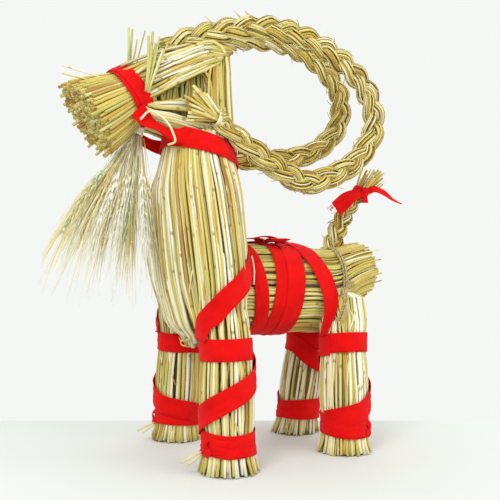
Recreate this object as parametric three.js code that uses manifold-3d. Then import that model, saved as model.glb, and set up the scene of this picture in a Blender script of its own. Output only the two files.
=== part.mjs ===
/**
 * Straw Yule goat: bundles of straight straw tied with red ribbon, with braided horns and tail.
 *
 * Units are millimetres and +Z is up. The goat looks along -Y and its left side is +X.
 * Sizes are laid out from a work point on the floor, midway between the four feet, and the finished
 * group is then moved so that the origin lies under the middle of the whole ornament.
 */
import * as THREE from 'three';
import { mergeVertices } from 'three/addons/utils/BufferGeometryUtils.js';
import Module from 'manifold-3d';

const wasm = await Module();
wasm.setup();

// ---------------------------------------------------------------- driving dimensions

const CLEARANCE = 0.35; // kept between two pieces that touch
const LEG_SIDES = 12; // straw ridges and grooves round a leg
const TRUNK_SIDES = 20;
const FLUTE_DEPTH = 0.045; // how far the straw grooves cut into a bundle, as a share of its radius

const BODY_AXIS_HEIGHT = 207;
const BODY_RADIUS = 57;
const BODY_FRONT = -60;
const STRING_PLACE = 93; // the twine round the rump, along Y
const RUMP_END = 141;

const NECK_PLACE = -85; // the chest and neck, along Y
const NECK_FOOT = 152; // where the chest parts into the forelegs
const COLLAR_HEIGHT = 386;
const COLLAR_RADIUS = 47;
const CHEST_HALF_WIDTH = 102;
const CHEST_HALF_DEPTH = 49;

const LEG_RADIUS = 31;
const LEG_WAIST = 28; // under the ribbons
const FOOT_RADIUS = 34.5;
const FORELEG_SPREAD = 95; // foot centre from the middle plane
const FORELEG_TOP_SPREAD = 82;
const HIND_LEG_PLACE = 86;
const HIND_LEG_SPREAD = 67;
const HIND_LEG_TOP_SPREAD = 46;
const LEG_BAND_HEIGHT = 137;
const ANKLE_BAND_HEIGHT = 35;

const HEAD_HALF_WIDTH = 40;
const HEAD_BACK = -45;
const HEAD_TOP = 513;
const FOLD_RADIUS = 22; // where the straw turns over at the crown
const MUZZLE_TIE = [-175, 439]; // Y and Z of the middle of the muzzle ribbon
const MUZZLE_END = [-230, 404];
const MUZZLE_TIE_RADIUS = 35;
const MUZZLE_MIDDLE_RADIUS = 42;
const MUZZLE_END_RADIUS = 49;

const HORN_WIDTH = 28;
const HORN_THICKNESS = 20;
const PLAIT_LOBE = 24; // one lobe of a horn's edge
const TAIL_WIDTH = 21;

const RIBBON_WIDTH = 25;
const RIBBON_THICKNESS = 1.4;
const TWINE_RADIUS = 1.6;
const CHIN_CORD_RADIUS = 1.3;
const LASHING_WIDTH = 19; // of the ribbon that holds the trunk to the neck
const SECOND_WRAP_WIDTH = 15; // the part of the trunk's second turn that the first leaves showing
const BOW_PLACE = 11; // middle of the bow on the back, along Y
const FORELOCK_STRAWS = 6;

const EAR_COUNT = 8;
const EAR_RADIUS = 6;
const EAR_LENGTH = 85;
const AWN_LENGTH = 62;
const BEARD_ROOT = [-159, 396]; // Y and Z of the tie
const BEARD_HALF_WIDTH = 13;
const EAR_TIPS = [[-138, 256], [-256, 270]]; // Y and Z of the rearmost and foremost ear's tip

// ---------------------------------------------------------------- materials

function finish(color, roughness) {
  return new THREE.MeshStandardMaterial({ color, roughness, metalness: 0 });
}

const STRAW = finish(0xc9ae62, 0.62);
const PALE_STRAW = finish(0xd6cf9f, 0.66);
const EAR_STRAW = finish(0xcdd0a6, 0.7);
const RIBBON = finish(0xd3161a, 0.78);
const TWINE = finish(0xcbb98a, 0.85);

// ---------------------------------------------------------------- solids

const X_AXIS = new THREE.Vector3(1, 0, 0);
const Y_AXIS = new THREE.Vector3(0, 1, 0);
const Z_AXIS = new THREE.Vector3(0, 0, 1);

/** A closed body from cross-sections of equal point count, capped, or joined end to start. */
function loft(sections, joined = false) {
  const count = sections[0].length;
  const points = sections.flat();
  const faces = [];
  const spans = joined ? sections.length : sections.length - 1;
  for (let row = 0; row < spans; row += 1) {
    const here = row * count;
    const next = ((row + 1) % sections.length) * count;
    for (let k = 0; k < count; k += 1) {
      const after = (k + 1) % count;
      faces.push(here + k, here + after, next + after);
      faces.push(here + k, next + after, next + k);
    }
  }
  if (!joined) {
    const last = (sections.length - 1) * count;
    const middles = [sections[0], sections[sections.length - 1]].map((section) => {
      const sum = section.reduce((total, point) => total.add(point), new THREE.Vector3());
      return sum.divideScalar(count);
    });
    const first = points.push(...middles) - 2;
    for (let k = 0; k < count; k += 1) {
      const after = (k + 1) % count;
      faces.push(first, after, k);
      faces.push(first + 1, last + k, last + after);
    }
  }
  const geometry = new THREE.BufferGeometry();
  geometry.setFromPoints(points);
  geometry.setIndex(faces);
  return geometry;
}

/** Six times the volume that a closed mesh holds, negative when its faces point inwards. */
function signedVolume(corners, faces) {
  const at = (k) => new THREE.Vector3().fromArray(corners, faces[k] * 3);
  let total = 0;
  for (let k = 0; k < faces.length; k += 3) {
    total += at(k).dot(at(k + 1).cross(at(k + 2)));
  }
  return total;
}

/** A three.js geometry as a solid that can be joined and cut. */
function solid(geometry) {
  const bare = geometry.clone();
  bare.deleteAttribute('normal');
  bare.deleteAttribute('uv');
  const merged = mergeVertices(bare, 1e-4);
  const vertProperties = new Float32Array(merged.attributes.position.array);
  const triVerts = new Uint32Array(merged.index.array);
  if (signedVolume(vertProperties, triVerts) < 0) {
    for (let k = 0; k < triVerts.length; k += 3) {
      [triVerts[k + 1], triVerts[k + 2]] = [triVerts[k + 2], triVerts[k + 1]];
    }
  }
  return new wasm.Manifold(new wasm.Mesh({ numProp: 3, vertProperties, triVerts }));
}

const join = (solids) => solids.reduce((whole, piece) => whole.add(piece));

/** What is left of a piece after cutting: its largest body, with no bubble or crumb. */
function cut(piece, tools) {
  const rest = tools.reduce((whole, tool) => whole.subtract(tool), piece);
  return rest.decompose().reduce((most, body) => (body.volume() > most.volume() ? body : most));
}

/** A named mesh from a finished solid. */
function mesh(name, shape, material) {
  const { vertProperties, triVerts } = shape.getMesh();
  const geometry = new THREE.BufferGeometry();
  geometry.setAttribute('position', new THREE.BufferAttribute(vertProperties, 3));
  geometry.setIndex(new THREE.BufferAttribute(triVerts, 1));
  geometry.computeVertexNormals();
  const piece = new THREE.Mesh(geometry, material.clone());
  piece.name = name;
  return piece;
}

// ---------------------------------------------------------------- straw bundles

/** A tied bundle: stations of [x, y, z, half width, half depth] whose sections all face one way. */
class Bundle {
  constructor(stations, across, along) {
    const smooth = (points) => new THREE.CatmullRomCurve3(points, false, 'catmullrom', 0.5);
    this.centres = smooth(stations.map(([x, y, z]) => new THREE.Vector3(x, y, z)));
    this.radii = smooth(stations.map((station) => new THREE.Vector3(station[3], station[4], 0)));
    this.across = across.clone().normalize();
    this.along = along.clone().normalize();
  }

  outward(angle) {
    const side = this.across.clone().multiplyScalar(Math.cos(angle));
    return side.addScaledVector(this.along, Math.sin(angle));
  }

  surface(t, angle, lift = 0) {
    const radius = this.radii.getPoint(t);
    const point = this.centres.getPoint(t);
    point.addScaledVector(this.across, (radius.x + lift) * Math.cos(angle));
    return point.addScaledVector(this.along, (radius.y + lift) * Math.sin(angle));
  }

  /** The place along the bundle, 0 to 1, where its centre has the given x, y or z. */
  where(axis, value) {
    let low = 0;
    let high = 1;
    const rising = this.centres.getPoint(1)[axis] > this.centres.getPoint(0)[axis];
    for (let step = 0; step < 24; step += 1) {
      const middle = (low + high) / 2;
      const below = this.centres.getPoint(middle)[axis] < value;
      [low, high] = below === rising ? [middle, high] : [low, middle];
    }
    return (low + high) / 2;
  }

  /** The fluted solid; with a lift it is the smooth hull that much larger, to cut its neighbours back. */
  body(sides, rings, lift = 0) {
    const sections = [];
    for (let row = 0; row <= rings; row += 1) {
      const section = [];
      for (let k = 0; k < sides; k += 1) {
        const t = row / rings;
        const flute = k % 2 && !lift ? -FLUTE_DEPTH * this.radii.getPoint(t).y : 0;
        section.push(this.surface(t, (k * 2 * Math.PI) / sides, lift + flute));
      }
      sections.push(section);
    }
    return solid(loft(sections));
  }
}

/**
 * A leg, its angles counted from the outer side: flared foot, waist under the ankle ribbon, full calf,
 * waist under the upper ribbon, then the places and radii of its shoulder.
 */
function legBundle(side, spread, topSpread, place, topPlace, shoulder) {
  const reach = (height) => Math.min(height / LEG_BAND_HEIGHT, 1);
  const x = (height) => side * THREE.MathUtils.lerp(spread, topSpread, reach(height));
  const y = (height) => THREE.MathUtils.lerp(place, topPlace, reach(height));
  const profile = [
    [0, FOOT_RADIUS],
    [14, LEG_RADIUS],
    [ANKLE_BAND_HEIGHT, LEG_WAIST],
    [60, LEG_RADIUS],
    [98, LEG_RADIUS],
    [LEG_BAND_HEIGHT, LEG_WAIST + 1],
  ];
  const stations = profile.map(([height, radius]) => [x(height), y(height), height, radius, radius]);
  shoulder.forEach(([across, along, height, radius]) => {
    stations.push([side * across, along, height, radius, radius]);
  });
  return new Bundle(stations, X_AXIS.clone().multiplyScalar(side), Y_AXIS);
}

const SIDES = [['left', 1], ['right', -1]];

const forelegs = SIDES.map(([, side]) => legBundle(
  side, FORELEG_SPREAD, FORELEG_TOP_SPREAD, NECK_PLACE - 1, NECK_PLACE + 1,
  [[76, NECK_PLACE, 165, LEG_RADIUS], [60, NECK_PLACE, 195, LEG_RADIUS]],
));
const hindLegs = SIDES.map(([, side]) => legBundle(
  side, HIND_LEG_SPREAD, HIND_LEG_TOP_SPREAD, HIND_LEG_PLACE, HIND_LEG_PLACE + 11,
  [[41, 99, 166, LEG_RADIUS + 1], [31, 99, 196, LEG_RADIUS + 2]],
));

const neck = new Bundle([
  [0, NECK_PLACE, NECK_FOOT - 6, 70, 20],
  [0, NECK_PLACE, NECK_FOOT + 8, 101, 34],
  [0, NECK_PLACE, 182, CHEST_HALF_WIDTH, 42],
  [0, NECK_PLACE, 212, CHEST_HALF_WIDTH - 1, CHEST_HALF_DEPTH - 1],
  [0, NECK_PLACE, 250, 95, CHEST_HALF_DEPTH],
  [0, NECK_PLACE - 1, 292, 82, CHEST_HALF_DEPTH],
  [0, NECK_PLACE - 2, 330, 68, 48],
  [0, NECK_PLACE - 3, 360, 54, COLLAR_RADIUS],
  [0, NECK_PLACE - 4, COLLAR_HEIGHT, COLLAR_RADIUS, COLLAR_RADIUS - 1],
  [0, NECK_PLACE - 2, 404, COLLAR_RADIUS - 2, COLLAR_RADIUS - 4],
], X_AXIS, Y_AXIS);

const poll = new Bundle([
  [0, -88, COLLAR_HEIGHT - 6, COLLAR_RADIUS - 3, COLLAR_RADIUS - 4],
  [0, -82, 420, HEAD_HALF_WIDTH + 1, 36],
  [0, HEAD_BACK - 32, 460, HEAD_HALF_WIDTH, 31],
  [0, HEAD_BACK - 28, HEAD_TOP - FOLD_RADIUS, HEAD_HALF_WIDTH - 1, 28],
], X_AXIS, Y_AXIS);

const muzzleTie = new THREE.Vector3(0, ...MUZZLE_TIE);
const muzzleEnd = new THREE.Vector3(0, ...MUZZLE_END);
const muzzleMiddle = muzzleTie.clone().lerp(muzzleEnd, 0.5);
const muzzleAxis = muzzleEnd.clone().sub(muzzleTie).normalize();
const muzzleUp = new THREE.Vector3().crossVectors(muzzleAxis, X_AXIS).normalize();
const muzzle = new Bundle([
  [0, HEAD_BACK - 26, 490, HEAD_HALF_WIDTH - 2, 22],
  [0, -110, 472, HEAD_HALF_WIDTH - 3, 27],
  [0, -148, 454, HEAD_HALF_WIDTH - 4, 33],
  [...muzzleTie.toArray(), MUZZLE_TIE_RADIUS, MUZZLE_TIE_RADIUS],
  [...muzzleMiddle.toArray(), MUZZLE_MIDDLE_RADIUS, MUZZLE_MIDDLE_RADIUS],
  [...muzzleEnd.toArray(), MUZZLE_END_RADIUS, MUZZLE_END_RADIUS],
], X_AXIS, muzzleUp);

const jaw = new Bundle([
  [0, -92, 408, HEAD_HALF_WIDTH - 6, 17],
  [0, -130, 416, HEAD_HALF_WIDTH - 8, 15],
  [0, -166, 430, MUZZLE_TIE_RADIUS - 3, 17],
], X_AXIS, Z_AXIS);

const trunk = new Bundle([
  [0, BODY_FRONT, BODY_AXIS_HEIGHT, BODY_RADIUS, BODY_RADIUS],
  [0, -10, BODY_AXIS_HEIGHT, BODY_RADIUS + 1, BODY_RADIUS + 1],
  [0, 50, BODY_AXIS_HEIGHT, BODY_RADIUS, BODY_RADIUS],
  [0, STRING_PLACE, BODY_AXIS_HEIGHT + 1, BODY_RADIUS - 3, BODY_RADIUS - 3],
  [0, STRING_PLACE + 20, BODY_AXIS_HEIGHT + 14, BODY_RADIUS - 2, BODY_RADIUS - 12],
  [0, RUMP_END, BODY_AXIS_HEIGHT + 25, BODY_RADIUS + 2, BODY_RADIUS - 17],
], X_AXIS, Z_AXIS);

/** The plate of inner straws that closes the triangle between brow, poll and jaw. */
function cheekPlate(lift) {
  const outline = new THREE.Shape();
  outline.moveTo(-78, 408);
  outline.lineTo(-150, 425);
  outline.lineTo(-150, 455);
  outline.lineTo(-78, 490);
  outline.closePath();
  const halfWidth = HEAD_HALF_WIDTH - 14 + lift;
  const plate = new THREE.ExtrudeGeometry(outline, { depth: 2 * halfWidth, bevelEnabled: false });
  plate.rotateX(Math.PI / 2);
  plate.rotateZ(Math.PI / 2);
  plate.translate(-halfWidth, 0, 0);
  return solid(plate);
}

/** The rounded crown where the neck's straw turns over towards the muzzle. */
function crown(lift) {
  const radius = FOLD_RADIUS + lift;
  const roll = new THREE.CylinderGeometry(radius, radius, 2 * (HEAD_HALF_WIDTH - 2 + lift), 16);
  roll.rotateZ(Math.PI / 2);
  roll.translate(0, HEAD_BACK - FOLD_RADIUS - 8, HEAD_TOP - FOLD_RADIUS);
  return solid(roll);
}

/** Head, neck and forelegs: one long bundle, folded at the crown and parted at the chest. */
function frontBundle(lift = 0) {
  return join([
    neck.body(28, 9, lift),
    ...forelegs.map((leg) => leg.body(LEG_SIDES, 7, lift)),
    poll.body(20, 3, lift),
    muzzle.body(20, 5, lift),
    jaw.body(10, 2, lift),
    cheekPlate(lift),
    crown(lift),
  ]);
}

/** Trunk, rump and hind legs: one bundle whose lower straw bends down into the legs. */
function rearBundle(lift = 0) {
  return join([
    trunk.body(TRUNK_SIDES, 5, lift),
    ...hindLegs.map((leg) => leg.body(LEG_SIDES, 7, lift)),
  ]);
}

const front = frontBundle();
const frontGrown = frontBundle(CLEARANCE);
const rear = cut(rearBundle(), [frontGrown]);
const rearGrown = rearBundle(CLEARANCE);

// ---------------------------------------------------------------- plaits

/** A three-strand plait along a curve: lobes stand out on its two edges in turn. */
function plait(curve, sideways, width, thickness, lobe, taper) {
  const rings = 2 * Math.round(curve.getLength() / lobe);
  const sections = [];
  for (let row = 0; row <= rings; row += 1) {
    const u = row / rings;
    const centre = curve.getPointAt(u);
    const ahead = curve.getTangentAt(u);
    const broad = new THREE.Vector3().crossVectors(ahead, sideways).normalize();
    const thin = new THREE.Vector3().crossVectors(broad, ahead).normalize();
    const size = taper(u);
    const section = [];
    for (let k = 0; k < 6; k += 1) {
      const angle = (k * Math.PI) / 3;
      const edge = Math.sign(Math.cos(angle)) * (row % 2 ? 1 : -1);
      const swell = 1 + 0.09 * edge;
      const point = centre.clone();
      point.addScaledVector(broad, (width / 2) * size * swell * Math.cos(angle));
      point.addScaledVector(thin, (thickness / 2) * size * Math.sin(angle));
      section.push(point);
    }
    sections.push(section);
  }
  return solid(loft(sections));
}

/** Each horn's path from the brow, over and back, to its tie on the cheek: [x, y, z]. */
const HORN_PATHS = {
  left: [
    [18, -140, 495], [26, -96, 515], [33, -48, 530], [38, 0, 536], [40, 50, 528],
    [42, 100, 505], [42, 136, 472], [42, 149, 430], [42, 126, 384], [43, 84, 356],
    [43, 40, 344], [46, 0, 359], [50, -38, 382], [52, -66, 404],
  ],
  right: [
    [-18, -136, 498], [-26, -92, 519], [-31, -42, 538], [-34, 10, 548], [-34, 62, 546],
    [-33, 108, 525], [-32, 140, 486], [-33, 137, 440], [-35, 104, 405], [-39, 56, 389],
    [-46, 8, 386], [-51, -32, 393], [-54, -64, 408],
  ],
};

const hornTaper = (u) => 1 - 0.25 * Math.max(0, (u - 0.85) / 0.15);

/** The fan of loose straw ends beyond a horn's tie. */
function hornTuft(end, ahead) {
  const fan = new Bundle([0, 0.35, 1].map((t) => [
    ...end.clone().addScaledVector(ahead, -6 + t * 46).toArray(), 7 + 4 * t, 7 + 9 * t,
  ]), X_AXIS, Z_AXIS);
  return fan.body(8, 2);
}

function horn(name) {
  const curve = new THREE.CatmullRomCurve3(HORN_PATHS[name].map((place) => new THREE.Vector3(...place)));
  const braid = plait(curve, X_AXIS, HORN_WIDTH, HORN_THICKNESS, PLAIT_LOBE, hornTaper);
  const tuft = hornTuft(curve.getPointAt(1), new THREE.Vector3(0, -0.93, 0.36));
  return cut(braid.add(tuft), [frontGrown]);
}

const TAIL_TIE = new THREE.Vector3(0, 152, 340);

function tail() {
  const curve = new THREE.CatmullRomCurve3([
    new THREE.Vector3(0, 112, 254),
    new THREE.Vector3(0, 118, 287),
    new THREE.Vector3(0, 133, 315),
    TAIL_TIE,
  ]);
  const braid = plait(curve, X_AXIS, TAIL_WIDTH, TAIL_WIDTH * 0.8, 15, (u) => 1 - 0.4 * u * u);
  const brush = new Bundle([
    [0, TAIL_TIE.y - 3, TAIL_TIE.z - 6, 6, 6],
    [0, TAIL_TIE.y + 9, TAIL_TIE.z + 16, 9, 9],
    [0, TAIL_TIE.y + 20, TAIL_TIE.z + 34, 14, 14],
  ], X_AXIS, Y_AXIS);
  return cut(braid.add(brush.body(8, 2)), [rearGrown]);
}

// ---------------------------------------------------------------- ribbons and cords

/** A flat strip over a surface: each place has its two edge points and the outward normal. */
function strip(places, joined = false) {
  const sections = places.map(({ edges, out }) => {
    const rise = out.clone().setLength(RIBBON_THICKNESS);
    const [first, second] = edges;
    return [first, second, second.clone().add(rise), first.clone().add(rise)];
  });
  return solid(loft(sections, joined));
}

/** A ribbon ring round a bundle; lean tips it so that it stands higher or further at one angle. */
function band(bundle, axis, value, options = {}) {
  const { lean = 0, leanAngle = 0, steps = LEG_SIDES, lift = 1.6, width = RIBBON_WIDTH } = options;
  const places = [];
  for (let k = 0; k < steps; k += 1) {
    const angle = (k * 2 * Math.PI) / steps;
    const centre = value + lean * Math.cos(angle - leanAngle);
    const edges = [-1, 1].map((edge) => {
      const t = bundle.where(axis, centre + (edge * width) / 2);
      return bundle.surface(t, angle, lift);
    });
    places.push({ edges, out: bundle.outward(angle) });
  }
  return strip(places, true);
}

/** A ribbon laid along a route of points, each with the outward normal there; side -1 mirrors it. */
function sash(route, steps, { width = RIBBON_WIDTH, side = 1 } = {}) {
  const path = new THREE.CatmullRomCurve3(route.map(({ point }) => point));
  const normals = new THREE.CatmullRomCurve3(route.map(({ out }) => out));
  const places = [];
  for (let k = 0; k <= steps; k += 1) {
    const point = path.getPoint(k / steps);
    const out = normals.getPoint(k / steps).normalize();
    const half = new THREE.Vector3().crossVectors(path.getTangent(k / steps), out);
    half.setLength(width / 2).multiplyScalar(side);
    places.push({ edges: [point.clone().sub(half), point.clone().add(half)], out });
  }
  return strip(places);
}

/** The route of a ribbon wound over a bundle from one place and angle to another. */
function winding(bundle, from, to, count, lift) {
  const route = [];
  for (let k = 0; k <= count; k += 1) {
    const angle = THREE.MathUtils.lerp(from.angle, to.angle, k / count);
    const t = THREE.MathUtils.lerp(from.t, to.t, k / count);
    route.push({ point: bundle.surface(t, angle, lift), out: bundle.outward(angle) });
  }
  return route;
}

function knot(centre, radius = 7) {
  const lump = new THREE.IcosahedronGeometry(radius, 0);
  lump.scale(1, 1, 0.8);
  lump.translate(...centre.toArray());
  return solid(lump);
}

const degrees = THREE.MathUtils.degToRad;

const clearOfStraw = (shape) => cut(shape, [frontGrown, rearGrown]);

/** Upper band, crossing turn, ankle band and knot of one leg's ribbon. */
function legRibbon(leg, side, from, to, tied) {
  const upper = { t: leg.where('z', LEG_BAND_HEIGHT - 6), angle: degrees(from) };
  const ankle = { t: leg.where('z', ANKLE_BAND_HEIGHT + 6), angle: degrees(to) };
  return join([
    band(leg, 'z', LEG_BAND_HEIGHT, { lean: 2 }),
    band(leg, 'z', ANKLE_BAND_HEIGHT, { lean: -3 }),
    sash(winding(leg, upper, ankle, 12, 2.3), 17, { side }),
    knot(leg.surface(leg.where('z', ANKLE_BAND_HEIGHT), degrees(tied), 4)),
  ]);
}

/** The foreleg's ribbon also climbs over the chest's flank to where the trunk is lashed on. */
function forelegRibbon(index, side) {
  const leg = forelegs[index];
  const wrap = legRibbon(leg, side, 170, -205, -76);
  const facing = (angle) => (side > 0 ? degrees(angle) : Math.PI - degrees(angle));
  const climb = [[172, -32], [194, -8], [216, 20], [234, 43], [240, 50]].map(([height, angle]) => ({
    point: neck.surface(neck.where('z', height), facing(angle), 4.6),
    out: neck.outward(facing(angle)),
  }));
  const low = degrees(-52);
  const start = { point: leg.surface(leg.where('z', 135), low, 2.4), out: leg.outward(low) };
  return clearOfStraw(wrap.add(sash([start, ...climb], 9, { side })));
}

/** The hind leg's ribbon starts on the back, crosses the flank and winds down the leg. */
function hindLegRibbon(index, side) {
  const wrap = legRibbon(hindLegs[index], side, -65, -440, 42);
  const route = [[12, 46, 267], [40, 52, 249], [56, 63, 218], [58, 70, 182], [54, 69, 148]].map(
    ([across, along, height]) => ({
      point: new THREE.Vector3(side * across, along, height),
      out: new THREE.Vector3(side * across, 0, Math.max(height - 170, 0)).normalize(),
    }),
  );
  return clearOfStraw(wrap.add(sash(route, 9, { side })));
}

/** Two wraps round the trunk, the lashing against the neck and the flattened bow on the back. */
function bodyRibbon() {
  const round = { leanAngle: Math.PI / 2, steps: TRUNK_SIDES, lift: 1.8 };
  const wraps = [
    band(trunk, 'y', -28, { ...round, lean: -9, width: LASHING_WIDTH }),
    band(trunk, 'y', 3, { ...round, lean: 1 }),
    band(trunk, 'y', 25, { ...round, lean: 1, width: SECOND_WRAP_WIDTH }),
  ];
  const top = BODY_AXIS_HEIGHT + BODY_RADIUS + 5;
  const loops = [-1, 1].map((side) => {
    const loop = new THREE.SphereGeometry(1, 8, 5);
    loop.scale(24, 13, 3.4);
    loop.rotateY(side * 0.16);
    loop.translate(side * 21, BOW_PLACE, top - 1);
    return solid(loop);
  });
  const tie = knot(new THREE.Vector3(0, BOW_PLACE, top), 9);
  const link = new THREE.BoxGeometry(16, 46, 2);
  link.translate(0, -14, top - 2.6);
  return clearOfStraw(join([...wraps, ...loops, tie, solid(link)]));
}

/** Points of a loose ribbon end, each [x, y, z], that faces one way all along. */
const looseEnd = (places, out) => places.map((place) => ({ point: new THREE.Vector3(...place), out }));

/** The halter: a band round the muzzle, the collar, and the twisted link between them. */
function halterRibbon() {
  const slope = { lean: -12, leanAngle: Math.PI / 2, steps: 20, lift: 2 };
  const linkPlaces = [[33, -165, 416], [36, -149, 402], [33.5, -124, 388]];
  const link = looseEnd(linkPlaces, new THREE.Vector3(1, 0, 0.3));
  return clearOfStraw(join([
    band(muzzle, 'y', MUZZLE_TIE[0], { steps: 20, lift: 2, width: RIBBON_WIDTH * 0.85 }),
    band(neck, 'z', COLLAR_HEIGHT - 5, slope),
    sash(link, 3, { width: RIBBON_WIDTH * 0.6 }),
  ]));
}

/** The tail's ribbon: a ring at the tie, its knot and two loose ends. */
function tailRibbon() {
  const [inner, outer, half] = [9, 11.5, 7];
  const profile = [[inner, -half], [outer, -half], [outer, half], [inner, half], [inner, -half]];
  const ring = new THREE.LatheGeometry(profile.map((corner) => new THREE.Vector2(...corner)), 14);
  ring.rotateX(degrees(52));
  ring.translate(...TAIL_TIE.toArray());
  const at = (x, y, z) => [TAIL_TIE.x + x, TAIL_TIE.y + y, TAIL_TIE.z + z];
  const broad = looseEnd([at(12, -2, 2), at(16, -20, -6), at(17, -40, -30)], X_AXIS);
  const narrow = looseEnd([at(12, 2, 3), at(18, 26, 3), at(28, 52, -15)], new THREE.Vector3(1, 0, 0.8));
  return join([
    solid(ring),
    knot(new THREE.Vector3(...at(13, 0, 2)), 6),
    sash(broad, 4, { width: RIBBON_WIDTH * 0.8 }),
    sash(narrow, 4, { width: RIBBON_WIDTH * 0.4 }),
  ]);
}

/** A round cord along a curve. */
function cord(places, radius, steps) {
  const round = new THREE.Shape().absarc(0, 0, radius, 0, 2 * Math.PI);
  const extrudePath = new THREE.CatmullRomCurve3(places);
  const options = { extrudePath, steps, curveSegments: 2, bevelEnabled: false };
  return solid(new THREE.ExtrudeGeometry(round, options));
}

/** The twine over the rump; its ends sink into the straw where the legs bend down. */
function rumpString() {
  const over = [];
  for (let angle = 0; angle <= 180; angle += 20) {
    const seat = trunk.where('y', STRING_PLACE + 3 * Math.sin(degrees(angle)));
    over.push(trunk.surface(seat, degrees(angle), TWINE_RADIUS + 1));
  }
  const down = (side) => [[67, 91, 196], [74, 87, 182], [75, 82, 168]].map(
    ([across, along, height]) => new THREE.Vector3(side * across, along, height),
  );
  return clearOfStraw(cord([...down(1).reverse(), ...over, ...down(-1)], TWINE_RADIUS, 26));
}

/** A straight round stalk between two points. */
function stalk(from, to, radius) {
  const rod = new THREE.CylinderGeometry(radius, radius, from.distanceTo(to), 4);
  const lie = new THREE.Quaternion().setFromUnitVectors(Y_AXIS, to.clone().sub(from).normalize());
  rod.applyQuaternion(lie);
  rod.translate(...from.clone().add(to).multiplyScalar(0.5).toArray());
  return solid(rod);
}

/** The chin's loop of pale cord, from the muzzle ribbon down to the collar. */
function chinCord() {
  const places = [
    [40, -174, 403], [43, -164, 413], [46, -150, 407], [47, -137, 390], [46, -134, 380], [38, -140, 377],
  ];
  return cord(places.map((place) => new THREE.Vector3(...place)), CHIN_CORD_RADIUS, 9);
}

/** One bearded ear: stem from the tie, swelling grain and a brush of awns that hangs straight down. */
function ear(share, sway) {
  const [tipY, tipZ] = [0, 1].map((k) => THREE.MathUtils.lerp(EAR_TIPS[0][k], EAR_TIPS[1][k], share));
  const [rootY, rootZ] = BEARD_ROOT;
  const headZ = tipZ + EAR_LENGTH;
  const lean = (tipY - rootY) * 0.42;
  return new Bundle([
    [0, rootY, rootZ, 1.5, 1.5],
    [0.4 * sway, rootY + lean * 0.7, headZ + 8, 1.5, 1.5],
    [0.8 * sway, tipY - lean * 0.6, headZ - 0.35 * EAR_LENGTH, EAR_RADIUS, EAR_RADIUS],
    [sway, tipY, tipZ, 0.7 * EAR_RADIUS, 0.7 * EAR_RADIUS],
    [1.1 * sway, tipY, tipZ - 0.5 * AWN_LENGTH, EAR_RADIUS, EAR_RADIUS],
    [1.1 * sway, tipY, tipZ - AWN_LENGTH, 1, 1],
  ], X_AXIS, Y_AXIS).body(5, 5);
}

/** Bearded ears of rye, tied together under the muzzle and hanging in a fan. */
function beard() {
  const ears = [];
  for (let k = 0; k < EAR_COUNT; k += 1) {
    ears.push(ear(k / (EAR_COUNT - 1), BEARD_HALF_WIDTH * Math.sin(2.2 * k)));
  }
  const tie = knot(new THREE.Vector3(0, BEARD_ROOT[0], BEARD_ROOT[1] - 3), 8);
  return join([...ears, tie]);
}

/** Pale straws tucked under the muzzle ribbon that stand up before the brow. */
function forelock() {
  const straws = [];
  for (let k = 0; k < FORELOCK_STRAWS; k += 1) {
    const foot = new THREE.Vector3(45 - 0.4 * k, -166 + 1.6 * k, 444);
    const tip = new THREE.Vector3(44 - k, -196 + 11 * k, 522 - 6 * (k % 3));
    straws.push(stalk(foot, tip, 1.8));
  }
  return join(straws);
}

// ---------------------------------------------------------------- assembly

const goat = new THREE.Group();
goat.add(mesh('head_neck_and_forelegs', front, STRAW));
goat.add(mesh('body_and_hind_legs', rear, STRAW));
SIDES.forEach(([name, side], index) => {
  goat.add(mesh(`horn_${name}`, horn(name), STRAW));
  goat.add(mesh(`foreleg_ribbon_${name}`, forelegRibbon(index, side), RIBBON));
  goat.add(mesh(`hind_leg_ribbon_${name}`, hindLegRibbon(index, side), RIBBON));
});
goat.add(mesh('tail', tail(), STRAW));
goat.add(mesh('body_ribbon', bodyRibbon(), RIBBON));
goat.add(mesh('halter_ribbon', halterRibbon(), RIBBON));
goat.add(mesh('tail_ribbon', tailRibbon(), RIBBON));
goat.add(mesh('rump_string', rumpString(), TWINE));
goat.add(mesh('chin_cord', chinCord(), TWINE));
goat.add(mesh('beard', beard(), EAR_STRAW));
goat.add(mesh('forelock', forelock(), PALE_STRAW));

const extent = new THREE.Box3().setFromObject(goat);
const middle = extent.getCenter(new THREE.Vector3());
goat.position.set(-middle.x, -middle.y, -extent.min.z);
goat.updateMatrixWorld(true);

export default goat;
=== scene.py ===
# %% [markdown]
# # A straw Yule goat, straw by straw
# The goat is made of long rye straws: one bundle is folded into head, neck and forelegs, another
# makes the trunk and the hind legs, and red ribbon ties them. The horns and the tail are plaits.
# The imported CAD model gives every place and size. It is loaded first and never changed: each of
# its solids is replaced by a piece made of real straws, cloth strips, ears or twine.

# %% Load the frame
import math

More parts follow.
